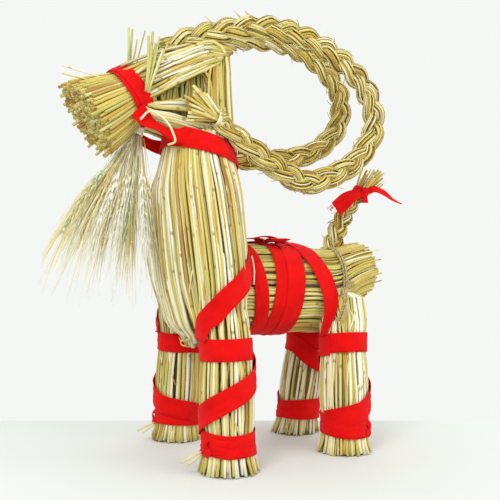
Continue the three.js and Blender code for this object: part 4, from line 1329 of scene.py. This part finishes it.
def leg_ribbon(sheaf, bundle, begin, end, tied):
    """The two ties of a leg and the run between them; the angles are in degrees."""
    band(sheaf, bundle, BAND_HEIGHT, 1.0, lean=2, folds=1.0)
    band(sheaf, bundle, ANKLE_HEIGHT + 1, 0.9, lean=-3, folds=1.1)
    band(sheaf, bundle, ANKLE_HEIGHT - 4, 1.8, width=17, lean=-2, lean_angle=1.4, folds=1.1)
    share = np.interp(np.linspace(0, 1, 90), *WINDING)
    angle = np.radians(np.linspace(begin, end, 90))
    height = BAND_HEIGHT - 6 + (ANKLE_HEIGHT + 12 - BAND_HEIGHT) * share
    line = bundle.at(height, angle, 2.2)
    out = bundle.outward(angle)
    half = unit(np.cross(unit(np.gradient(line, axis=0)), out)) * RIBBON_WIDTH / 2
    cloth(sheaf, line - half, line + half, out, False, 0.7, ((bundle, 2.2),))
    turn = math.radians(tied)
    spot = bundle.at(ANKLE_HEIGHT - 2, turn, 2.6)
    knot(sheaf, spot, bundle.outward(turn), Z, 0.85)


CLIMB = ((149, -84), (168, -38), (190, -14), (214, 18), (233, 42), (246, 56))  # height, angle
HIP_RUN = ((8, 36, 268), (24, 43, 262), (40, 50, 248), (55, 62, 222), (60, 69, 200), (59, 70, 178),
           (56, 67, 160), (52, 65, 148))
for name, side in SIDES:
    fore = ribbons["foreleg_ribbon_" + name] = Sheaf()
    bundle = forelegs[name]
    leg_ribbon(fore, bundle, 170, -205, -76)
    route, outs = [], []
    for height, turn in CLIMB:
        on_calf = height == CLIMB[0][0]
        turn = math.radians(turn if side > 0 or on_calf else 180 - turn)
        on = bundle if on_calf else neck
        route.append(on.at(height, turn, 2.8))
        outs.append(on.outward(turn))
    laid(fore, route, outs, 60, folds=0.7, hold=((neck, 2.0), (bundle, 2.4)))

    hind = ribbons["hind_leg_ribbon_" + name] = Sheaf()
    bundle = hind_legs[name]
    leg_ribbon(hind, bundle, -65, -440, 42)
    route = [(side * x, y, z) for x, y, z in HIP_RUN]
    outs = [(side * x, 0, max(z - 175, 0) * 1.3) for x, y, z in HIP_RUN]
    laid(hind, route, outs, 70, width=(22, 25, 25, 21, 14), folds=0.6, hold=((trunk, 2.9), (bundle, 2.4)))
    print(name, "leg ribbons:", fore.cell, "and", hind.cell, "strips")

# %% [markdown]
# On the trunk one turn of ribbon binds it to the neck, leaning into the corner, and two turns lie
# over each other behind it. The bow on the back has been pressed flat: each of its loops goes out
# and comes back over itself.

# %% Body ribbon and bow
TOP = math.pi / 2
body_ribbon = ribbons["body_ribbon"] = Sheaf()
for centre, lift, width, lean, hold in (
    (-28.0, 1.0, 19, -9, ((neck, 1.2),)), (4.0, 1.0, RIBBON_WIDTH, 5, ()), (20.0, 1.9, RIBBON_WIDTH, 6, ()),
):
    band(body_ribbon, trunk, centre, lift, width, lean, TOP, 0.9, hold, 96)
BACK = 267.0  # height of the ribbon on the back
LOOP = [(1, 8, 1.5), (20, 8, 1.5), (40, 7, 1.6), (46, 6, 2.8), (41, 6, 4.0), (22, 8, 4.6), (3, 9, 3.6)]
LOOP_HALF_WIDTH = ([0, 0.2, 0.5, 0.8, 1], [5, 10, 12.5, 11, 5])
for side in (-1, 1):
    line = curve([(side * x, y, BACK + z) for x, y, z in LOOP], 40)
    ahead = unit(np.gradient(line, axis=0))
    out = np.cross(ahead, Y) * side
    half_width = np.interp(np.linspace(0, 1, 40), *LOOP_HALF_WIDTH)[:, None]
    half = half_width * unit(Y + 0.25 * side * X)
    cloth(body_ribbon, line - half, line + half, out)
over_knot = [(0, -1, 0.2), (0, -0.4, 1), (0, 0, 1), (0, 0.4, 1), (0, 1, 0.2)]
for route, outs, count, widths, folds in (
    ([(0, -6, 0.5), (0, -6, 6), (0, 4, 8.5), (0, 14, 8), (0, 22, 5), (0, 22, 0.5)],
     over_knot, 24, (12, 15, 12), 0.7),
    ([(2, 2, 3), (6, -16, 5.5), (12, -33, 3)], [Z, Z, Z], 16, (12, 20, 24), 1.0),
    ([(-2, 14, 3), (-8, 30, 3.5), (-12, 44, 0.5)], [Z, Z, Z], 16, (12, 20, 22), 1.0),
):
    laid(body_ribbon, [(x, y, BACK + z) for x, y, z in route], outs, count, widths, folds)
print("body ribbon:", body_ribbon.cell, "strips")

# %% [markdown]
# The halter is a turn of ribbon round the muzzle and another round the neck, higher at the throat
# than at the nape, joined by a twisted piece under the cheek.

# %% Halter
def spokes_round(ahead, count):
    """Angles round a tie, and the direction of the spoke at each of them."""
    turns = np.linspace(0, 2 * math.pi, count, endpoint=False)
    return turns, np.cos(turns)[:, None] * X + np.sin(turns)[:, None] * np.cross(ahead, X)


halter = ribbons["halter_ribbon"] = Sheaf()
turns, spokes = spokes_round(muzzle_ahead, 80)
for at, width, reach in ((0.0, 21.5, 36.2), (-1.5, 17.0, 37.0)):
    lean = 1.5 * np.cos(turns + at)[:, None]
    low = MUZZLE_TIE + (at - width / 2 + lean) * muzzle_ahead + (reach - 0.2) * spokes
    high = MUZZLE_TIE + (at + width / 2 + lean) * muzzle_ahead + (reach + 0.9) * spokes
    cloth(halter, low, high, spokes, True, 0.7)
THROAT = -math.pi / 2
band(halter, neck, 381, 1.6, lean=12, lean_angle=THROAT, folds=1.0, count=90)
band(halter, neck, 379, 2.5, width=18, lean=11, lean_angle=THROAT + 0.2, folds=1.0, count=90)
LINK = [(34, -176, 416), (37, -166, 404), (37, -152, 397), (36, -138, 391), (37, -126, 389), (41, -113, 389)]
LINK_FACES = [(1, -0.4, -0.3), (1, -0.1, 0), (1, 0.2, 0.5), (1, 0.1, 0.3), (1, -0.2, 0), (1, -0.5, 0)]
for sign in (1, -1):
    route, outs = ([(sign * x, y, z) for x, y, z in rows] for rows in (LINK, LINK_FACES))
    laid(halter, route, outs, 36, (20, 18, 13, 14, 18, 18), 1.2)
print("halter:", halter.cell, "strips")

# %% [markdown]
# The tail's ribbon is knotted once. One end is cut broad and has frayed into threads, the other
# runs out into a narrow tip.

# %% Tail ribbon
tail_ribbon = ribbons["tail_ribbon"] = Sheaf()
turns, spokes = spokes_round(tail_ahead, 36)
for at, width, reach in ((0.0, 13.0, 9.8), (1.5, 9.0, 10.7)):
    tilt = 2.0 * np.cos(turns + at)[:, None]
    low = TAIL_TIE + (at - width / 2 + tilt) * tail_ahead + reach * spokes
    high = TAIL_TIE + (at + width / 2 + tilt) * tail_ahead + reach * spokes
    cloth(tail_ribbon, low, high, spokes, True, 0.8, (), 9)


def from_tie(*offsets):
    """Points given from the tail's tie."""
    return [TAIL_TIE + np.array(offset) for offset in offsets]


knot(tail_ribbon, TAIL_TIE + (12.5, 0, 1), X, tail_ahead, 0.9)
broad_end = from_tie((12, -2, 1), (16, -15, -2), (19, -31, -10), (18, -49, -25))
laid(tail_ribbon, broad_end, [(1, 0, 0.2), (1, -0.2, 0.5), (1, 0, 0.2), (1, 0, 0)], 34, (9, 16, 21, 22), 1.6)
narrow_end = from_tie((12, 3, 2), (16, 14, 6), (20, 28, 1), (24, 40, -8), (28, 52, -14))
narrow_outs = [(1, 0, 0.9), (1, 0, 1), (1, 0.3, 0.6), (1, 0, 0.9), (1, 0, 0.8)]
laid(tail_ribbon, narrow_end, narrow_outs, 40, (10, 15, 12, 6, 2), 1.2)
fray = broad_end[-1]
for _ in range(9):
    root = fray + (rng.uniform(-0.5, 0.5), -1, 1) + rng.uniform(-9, 9) * unit(np.array((0, -0.75, 0.66)))
    aim = root + (rng.uniform(-3, 3), rng.uniform(-10, -3), rng.uniform(-12, -2))
    straw(tail_ribbon, bent(root, aim, rng.normal(0, 1.2, 3), 8), 0.28, sides=4)
print("tail ribbon:", tail_ribbon.cell, "strips and threads")

# %% [markdown]
# The twine over the rump is laid twice round and holds the trunk's straw to the hind legs. It is
# two yarns twisted together, so each of them is a thin tube that winds round the twine's middle.

# %% Twine
twine_sheaf = Sheaf()
TWINE_RADIUS = 1.6


def twisted(sheaf, points, radius, pitch=8.5):
    """Two yarns wound round each other along a line."""
    length = length_of(curve(points, 200))
    line = curve(points, int(length / 1.3))
    ahead = unit(np.gradient(line, axis=0))
    first = unit(np.cross(ahead, X + 0.2 * Z))
    second = np.cross(ahead, first)
    turn = 2 * math.pi * np.linspace(0, length, len(line)) / pitch
    for ply in (0, math.pi):
        spokes = np.cos(turn + ply)[:, None] * first + np.sin(turn + ply)[:, None] * second
        straw(sheaf, line + 0.5 * radius * spokes, 0.58 * radius, sides=6, tone=rng.uniform())


TWINE_END = ((68, 82, 207), (76, 80, 196), (77, 76, 182), (71, 73, 167))  # down the hip

for offset, lift in ((0.0, 1.7), (3.6, 1.8)):
    over = []
    for degrees in range(-14, 195, 8):
        turn = math.radians(degrees)
        seat = 92 + offset + 5 * math.sin(turn) - 12 * max(0, -math.sin(turn))
        over.append(trunk.at(seat, turn, lift))
    ends = []
    for name, side in SIDES:
        low = [(side * x, y + offset, z) for x, y, z in TWINE_END]
        ends.append(list(hind_legs[name].clear(np.array(low, float), lift)))
    twisted(twine_sheaf, [*ends[0][::-1], *over, *ends[1]], TWINE_RADIUS)
loose = trunk.at(97.0, 0.15, 2.4)
for aim in ((5, 7, -11), (4, 10, -7)):
    twisted(twine_sheaf, [loose, loose + np.array(aim) * 0.5 + (1.5, 0, 0), loose + np.array(aim)], 0.9)
print("twine:", twine_sheaf.cell, "yarns")

# %% [markdown]
# The pale cord at the chin is a single smooth loop. It leaves the muzzle ribbon, arches over and
# goes back under the collar, and it is stiff enough to hold that arch.

# %% Chin cord
CHIN_CORD_RADIUS = 1.3
chin_line = curve([
    (40, -174, 403), (43, -164, 413), (46, -150, 407), (47, -137, 390), (46, -134, 380), (38, -140, 377),
], 44)
chin_sheaf = Sheaf()
straw(chin_sheaf, chin_line, CHIN_CORD_RADIUS, sides=10, tone=0.1)

# %% [markdown]
# A material is a small net of nodes. A few helpers make the nodes and their links, so that the
# materials below read as what they do: mix two colours, spread a value out, read a mark.

# %% Node helpers
def srgb(*values):
    """A colour given in 0 to 255 screen values, as the linear colour that a shader takes."""
    parts = [v / 255 for v in values]
    linear = [v / 12.92 if v <= 0.04045 else ((v + 0.055) / 1.055) ** 2.4 for v in parts]
    return (*linear, 1.0)


def node(tree, kind, **settings):
    """A new node of a kind, with its settings."""
    made = tree.nodes.new("ShaderNode" + kind)
    for key, value in settings.items():
        setattr(made, key, value)
    return made


def wire(tree, source, target):
    """Links an output, or sets a plain value, to an input."""
    if isinstance(source, (int, float, tuple)):
        target.default_value = source
    else:
        tree.links.new(source, target)


def maths(tree, operation, *inputs, clamp=False):
    """One sum with plain values or outputs as its inputs."""
    made = node(tree, "Math", operation=operation, use_clamp=clamp)
    for k, value in enumerate(inputs):
        wire(tree, value, made.inputs[k])
    return made.outputs[0]


def noise(tree, x, y, z, scale, detail=3.0, rough=0.55):
    """A noise over three numbers."""
    place = node(tree, "CombineXYZ")
    for value, target in zip((x, y, z), place.inputs):
        wire(tree, value, target)
    made = node(tree, "TexNoise", noise_dimensions="3D")
    wire(tree, place.outputs[0], made.inputs["Vector"])
    made.inputs["Scale"].default_value = scale
    made.inputs["Detail"].default_value = detail
    made.inputs["Roughness"].default_value = rough
    return made.outputs["Fac"]


def mixed(tree, share, low, high, blend="MIX"):
    """Two colours mixed by a share."""
    made = node(tree, "Mix", data_type="RGBA", blend_type=blend)
    wire(tree, share, made.inputs[0])
    wire(tree, low, made.inputs[6])
    wire(tree, high, made.inputs[7])
    return made.outputs[2]


def spread_out(tree, value, low, high, to_low=0.0, to_high=1.0):
    """A value moved from one range to another, and held there."""
    made = node(tree, "MapRange")
    for source, target in zip((value, low, high, to_low, to_high), made.inputs):
        wire(tree, source, target)
    return made.outputs[0]


def ramp(tree, value, stops):
    """A colour picked by a value from stops, each a place and a colour."""
    made = node(tree, "ValToRGB")
    wire(tree, value, made.inputs[0])
    elements = made.color_ramp.elements
    while len(elements) < len(stops):
        elements.new(0.5)
    for element, (at, colour) in zip(elements, stops):
        element.position = at
        element.color = colour
    return made.outputs[0]


def mark(tree, name):
    """The tone or the shade that each point carries."""
    return node(tree, "Attribute", attribute_name=name).outputs["Fac"]


def grain_of(tree):
    """The three numbers of the grain that each point carries."""
    split = node(tree, "SeparateXYZ")
    wire(tree, node(tree, "Attribute", attribute_name="grain").outputs["Vector"], split.inputs[0])
    return tuple(split.outputs)


print("mid grey as a shader takes it:", round(srgb(128)[0], 3))

# %% [markdown]
# All the straw on the goat shows the same things: long streaks, fine fibres, a slow change of
# colour along each stem, a brown joint now and then, and painted shade in hollows and between
# straws. So one node group works these out from the marks on the points, and each straw material
# turns them into its own colours.

# %% Straw fibre group
fibre = bpy.data.node_groups.new("straw_fibre", "ShaderNodeTree")
for title, default in (("Tone Shift", 0.0), ("Tone Spread", 1.0), ("Streaks", 0.22), ("Joint Spacing", 0.19)):
    socket = fibre.interface.new_socket(title, in_out="INPUT", socket_type="NodeSocketFloat")
    socket.default_value = default
for title in ("Tone", "Fibre", "Joint", "Shade", "Roughness", "Height"):
    fibre.interface.new_socket(title, in_out="OUTPUT", socket_type="NodeSocketFloat")
given, result = fibre.nodes.new("NodeGroupInput"), fibre.nodes.new("NodeGroupOutput")
tone, shade = mark(fibre, "tone"), mark(fibre, "shade")
around_x, around_y, run = grain_of(fibre)
seed = maths(fibre, "MULTIPLY", tone, 61.0)
streak = noise(
    fibre, maths(fibre, "MULTIPLY_ADD", around_x, 1.5, seed), maths(fibre, "MULTIPLY", around_y, 1.5),
    maths(fibre, "MULTIPLY_ADD", run, 13.0, seed), 1.3, 4.0, 0.6,
)
fine = noise(
    fibre, maths(fibre, "MULTIPLY_ADD", around_x, 5.0, seed), maths(fibre, "MULTIPLY", around_y, 5.0),
    maths(fibre, "MULTIPLY", run, 45.0), 1.6, 2.0, 0.5,
)
slow = noise(fibre, seed, 0.0, maths(fibre, "MULTIPLY", run, 11.0), 1.0, 2.0, 0.5)
toned = maths(fibre, "MULTIPLY_ADD", tone, given.outputs["Tone Spread"], given.outputs["Tone Shift"])
toned = maths(fibre, "ADD", toned, maths(fibre, "MULTIPLY", maths(fibre, "SUBTRACT", slow, 0.5), 0.75))
streaked = maths(fibre, "MULTIPLY", maths(fibre, "SUBTRACT", streak, 0.5), given.outputs["Streaks"])
toned = maths(fibre, "ADD", toned, maths(fibre, "MULTIPLY", streaked, 1.6), clamp=True)
joints_passed = maths(fibre, "DIVIDE", run, given.outputs["Joint Spacing"])
beat = maths(fibre, "FRACT", maths(fibre, "ADD", joints_passed, seed))
off = maths(fibre, "ABSOLUTE", maths(fibre, "SUBTRACT", beat, 0.5))
off = maths(fibre, "MULTIPLY", off, given.outputs["Joint Spacing"])
joint = spread_out(fibre, off, 0.0008, 0.0030, 1.0, 0.0)
wire(fibre, toned, result.inputs["Tone"])
fibres = maths(fibre, "MULTIPLY_ADD", fine, 0.5, maths(fibre, "MULTIPLY", streak, 0.5))
wire(fibre, fibres, result.inputs["Fibre"])
wire(fibre, joint, result.inputs["Joint"])
wire(fibre, shade, result.inputs["Shade"])
rough = maths(fibre, "MULTIPLY_ADD", streak, 0.34, 0.24)
wire(fibre, maths(fibre, "MULTIPLY_ADD", shade, 0.4, rough, clamp=True), result.inputs["Roughness"])
height = maths(fibre, "MULTIPLY_ADD", fine, 0.6, maths(fibre, "MULTIPLY", streak, 0.8))
wire(fibre, maths(fibre, "ADD", height, maths(fibre, "MULTIPLY", joint, 0.9)), result.inputs["Height"])
print("straw_fibre group:", len(fibre.nodes), "nodes")

# %% [markdown]
# Rye straw dries from green through cream to gold, and weathers to brown where dew has stood on
# it. The colours below run from the palest straw of a bundle to the brownest. The braided straw
# was moistened and turned so that its golden inside shows. Beard and forelock were cut green.

# %% Straw materials
# The joints' own brown, and the warm brown of painted shade.
JOINT_BROWN, PAINTED_SHADE_BROWN = srgb(120, 82, 42), srgb(72, 48, 10)
FIBRE_HEIGHT = 0.0006


def straw_material(name, colours, shift, spread, streaks, joints, bump=0.45, sheen=0.0, depth=(0.70, 1.12)):
    """Straw in its own colours, from pale to brown; depth is how dark and bright its fibres are."""
    material = bpy.data.materials.new(name)
    material.use_nodes = True
    tree = material.node_tree
    surface = tree.nodes["Principled BSDF"]
    group = node(tree, "Group")
    group.node_tree = fibre
    for title, value in (("Tone Shift", shift), ("Tone Spread", spread), ("Streaks", streaks)):
        group.inputs[title].default_value = value
    stops = [(k / (len(colours) - 1), srgb(*colour)) for k, colour in enumerate(colours)]
    colour = ramp(tree, group.outputs["Tone"], stops)
    light = spread_out(tree, group.outputs["Fibre"], 0.32, 0.68, *depth)
    grey = node(tree, "CombineColor")
    for target in grey.inputs:
        wire(tree, light, target)
    colour = mixed(tree, 1.0, colour, grey.outputs[0], "MULTIPLY")
    joint = maths(tree, "MULTIPLY", group.outputs["Joint"], joints)
    colour = mixed(tree, joint, colour, JOINT_BROWN)
    # Painted shade: the shade mark darkens the colour towards a warm brown, in hollows and between straws.
    dark = maths(tree, "MULTIPLY", group.outputs["Shade"], 0.9)
    colour = mixed(tree, dark, colour, PAINTED_SHADE_BROWN)
    wire(tree, colour, surface.inputs["Base Color"])
    wire(tree, group.outputs["Roughness"], surface.inputs["Roughness"])
    relief = node(tree, "Bump")
    relief.inputs["Strength"].default_value = bump
    relief.inputs["Distance"].default_value = FIBRE_HEIGHT
    wire(tree, group.outputs["Height"], relief.inputs["Height"])
    wire(tree, relief.outputs[0], surface.inputs["Normal"])
    surface.inputs["Specular IOR Level"].default_value = 0.42
    surface.inputs["Sheen Weight"].default_value = sheen
    print("material", name, "with", len(colours), "colours")
    return material


straw_finish = straw_material("straw", [
    (249, 245, 226), (240, 230, 182), (226, 210, 130), (212, 188, 84), (203, 197, 112), (202, 162, 68),
    (164, 118, 52),
], 0.0, 0.92, 0.28, 0.6)
braided_finish = straw_material("braided_straw", [
    (252, 247, 216), (242, 230, 168), (228, 210, 118), (216, 190, 84), (200, 168, 66), (168, 124, 48),
], 0.04, 0.9, 0.5, 0.3, 0.6, depth=(0.6, 1.15))
pale_finish = straw_material("pale_straw", [
    (238, 235, 196), (214, 218, 140), (192, 204, 118), (206, 192, 108), (178, 168, 80),
], 0.0, 0.9, 0.2, 0.3)
rye_finish = straw_material("rye_ears", [
    (253, 252, 244), (250, 247, 226), (243, 238, 196), (236, 219, 146), (226, 203, 118), (206, 212, 178),
    (188, 202, 176),
], 0.0, 0.96, 0.12, 0.1, 0.2, 0.1, (0.88, 1.15))
twine_finish = straw_material("twine", [
    (206, 188, 140), (190, 168, 116), (172, 146, 92), (188, 172, 128),
], 0.1, 0.7, 0.3, 0.0, 0.6, 0.1)

# %% [markdown]
# The ribbon is plain weave: one thread over, one thread under, about 16 threads to the centimetre.
# The weave is worked out along and across the strip. Dye sits a little unevenly, the cloth is
# paler where threads are rubbed, and a soft sheen shows at grazing light.

# %% Ribbon material
THREAD = 0.00062  # metres from thread to thread and back
ribbon_finish = bpy.data.materials.new("ribbon")
ribbon_finish.use_nodes = True
tree = ribbon_finish.node_tree
surface = tree.nodes["Principled BSDF"]
along, across_cloth, strip_seed = grain_of(tree)
warp = maths(tree, "SINE", maths(tree, "MULTIPLY", across_cloth, 2 * math.pi / THREAD))
weft = maths(tree, "SINE", maths(tree, "MULTIPLY", along, 2 * math.pi / THREAD))
checks = maths(tree, "MULTIPLY", warp, weft)
slub = noise(tree, maths(tree, "MULTIPLY", along, 900.0), maths(tree, "MULTIPLY", across_cloth, 120.0),
             strip_seed, 1.0, 2.0)
mottle = noise(tree, maths(tree, "MULTIPLY", along, 38.0), maths(tree, "MULTIPLY", across_cloth, 60.0),
               maths(tree, "MULTIPLY", strip_seed, 30.0), 1.0, 3.0)
red = ramp(tree, spread_out(tree, mottle, 0.3, 0.7), [
    (0.0, srgb(208, 6, 6)), (0.55, srgb(222, 9, 9)), (1.0, srgb(230, 14, 12))])
worn = spread_out(tree, maths(tree, "MULTIPLY_ADD", checks, 0.25, slub), 0.66, 0.98, 0.0, 0.22)
red = mixed(tree, worn, red, srgb(234, 44, 38))
wire(tree, red, surface.inputs["Base Color"])
wire(tree, spread_out(tree, slub, 0.2, 0.8, 0.72, 0.92), surface.inputs["Roughness"])
relief = node(tree, "Bump")
relief.inputs["Strength"].default_value = 0.35
relief.inputs["Distance"].default_value = 0.0004
wire(tree, maths(tree, "MULTIPLY_ADD", slub, 0.8, checks), relief.inputs["Height"])
wire(tree, relief.outputs[0], surface.inputs["Normal"])
surface.inputs["Sheen Weight"].default_value = 0.04
surface.inputs["Sheen Roughness"].default_value = 0.5
surface.inputs["Specular IOR Level"].default_value = 0.1
print("threads to the centimetre:", round(2 * 0.01 / THREAD))

# %% [markdown]
# The goat stands on a plain pale card, almost white, with a very faint mottle. Behind its back edge,
# and far away all round, the floor takes the room's own colour, so there is no horizon. Only the
# card's back edge shows, as a faint line.

# %% Floor material
CARD_EDGE_WAY, CARD_EDGE = (-0.910, 0.415, 0.0), 0.183  # the card ends this far from the middle, this way
EDGE_BLUR = 0.006
FADE_FROM, FADE_TO = 0.7, 1.9  # metres from the middle
BLACK = (0.0, 0.0, 0.0, 1.0)
card = bpy.data.materials.new("pale_card")
card.use_nodes = True
tree = card.node_tree
surface = tree.nodes["Principled BSDF"]
spot = node(tree, "NewGeometry").outputs["Position"]
cloudy = node(tree, "TexNoise")
wire(tree, spot, cloudy.inputs["Vector"])
cloudy.inputs["Scale"].default_value = 3.0
mottled = ramp(tree, cloudy.outputs["Fac"], [(0.3, (0.71, 0.745, 0.725, 1)), (0.7, (0.73, 0.765, 0.745, 1))])
beyond = node(tree, "VectorMath", operation="DOT_PRODUCT")
wire(tree, spot, beyond.inputs[0])
beyond.inputs[1].default_value = CARD_EDGE_WAY
edge = spread_out(tree, beyond.outputs["Value"], CARD_EDGE, CARD_EDGE + EDGE_BLUR)
distance = node(tree, "VectorMath", operation="LENGTH")
wire(tree, spot, distance.inputs[0])
far = spread_out(tree, distance.outputs["Value"], FADE_FROM, FADE_TO)
away = maths(tree, "MAXIMUM", edge, far)
wire(tree, mixed(tree, away, mottled, BLACK), surface.inputs["Base Color"])
room_light = (*(part * ROOM_STRENGTH for part in ROOM_COLOUR), 1.0)
wire(tree, mixed(tree, away, BLACK, room_light), surface.inputs["Emission Color"])
surface.inputs["Emission Strength"].default_value = 1.0
surface.inputs["Specular IOR Level"].default_value = 0.0
surface.inputs["Roughness"].default_value = 0.9
floor_mesh.materials.append(card)
print("the card ends", CARD_EDGE, "m past the middle, away from the camera")

# %% [markdown]
# Last, each collected sheaf becomes an object that stands for its CAD solid and rides on the
# goat's one body.

# %% Pieces
def put(name, sheaf, material, replaced=None):
    """A finished piece on the root body, standing for one CAD solid."""
    piece = finished(name, sheaf, material)
    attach(piece, "root")
    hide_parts(replaced or name)
    return piece


put("straw_head_neck_forelegs", head_sheaf, straw_finish, "head_neck_and_forelegs")
put("straw_body_hind_legs", body_sheaf, straw_finish, "body_and_hind_legs")
for name, _ in SIDES:
    put("plaited_horn_" + name, horn_sheaves[name], braided_finish, "horn_" + name)
put("plaited_tail", tail_sheaf, braided_finish, "tail")
put("forelock_straws", forelock_sheaf, pale_finish, "forelock")
put("rye_beard", beard_sheaf, rye_finish, "beard")
put("rump_twine", twine_sheaf, twine_finish, "rump_string")
chin_piece = put("chin_loop", chin_sheaf, pale_finish, "chin_cord")
tuple(placed(chin_line[0]))
[tuple(p) for p in placed(chin_line)]
for name, sheaf in ribbons.items():
    piece = put("cloth_" + name, sheaf, ribbon_finish, name)

# %% [markdown]
# The box of the finished goat is printed. Loose tips, awns and cut ends stand out a little
# beyond the CAD solids.

low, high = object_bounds()
print("visual box", [round(v, 4) for v in (*low, *high)])
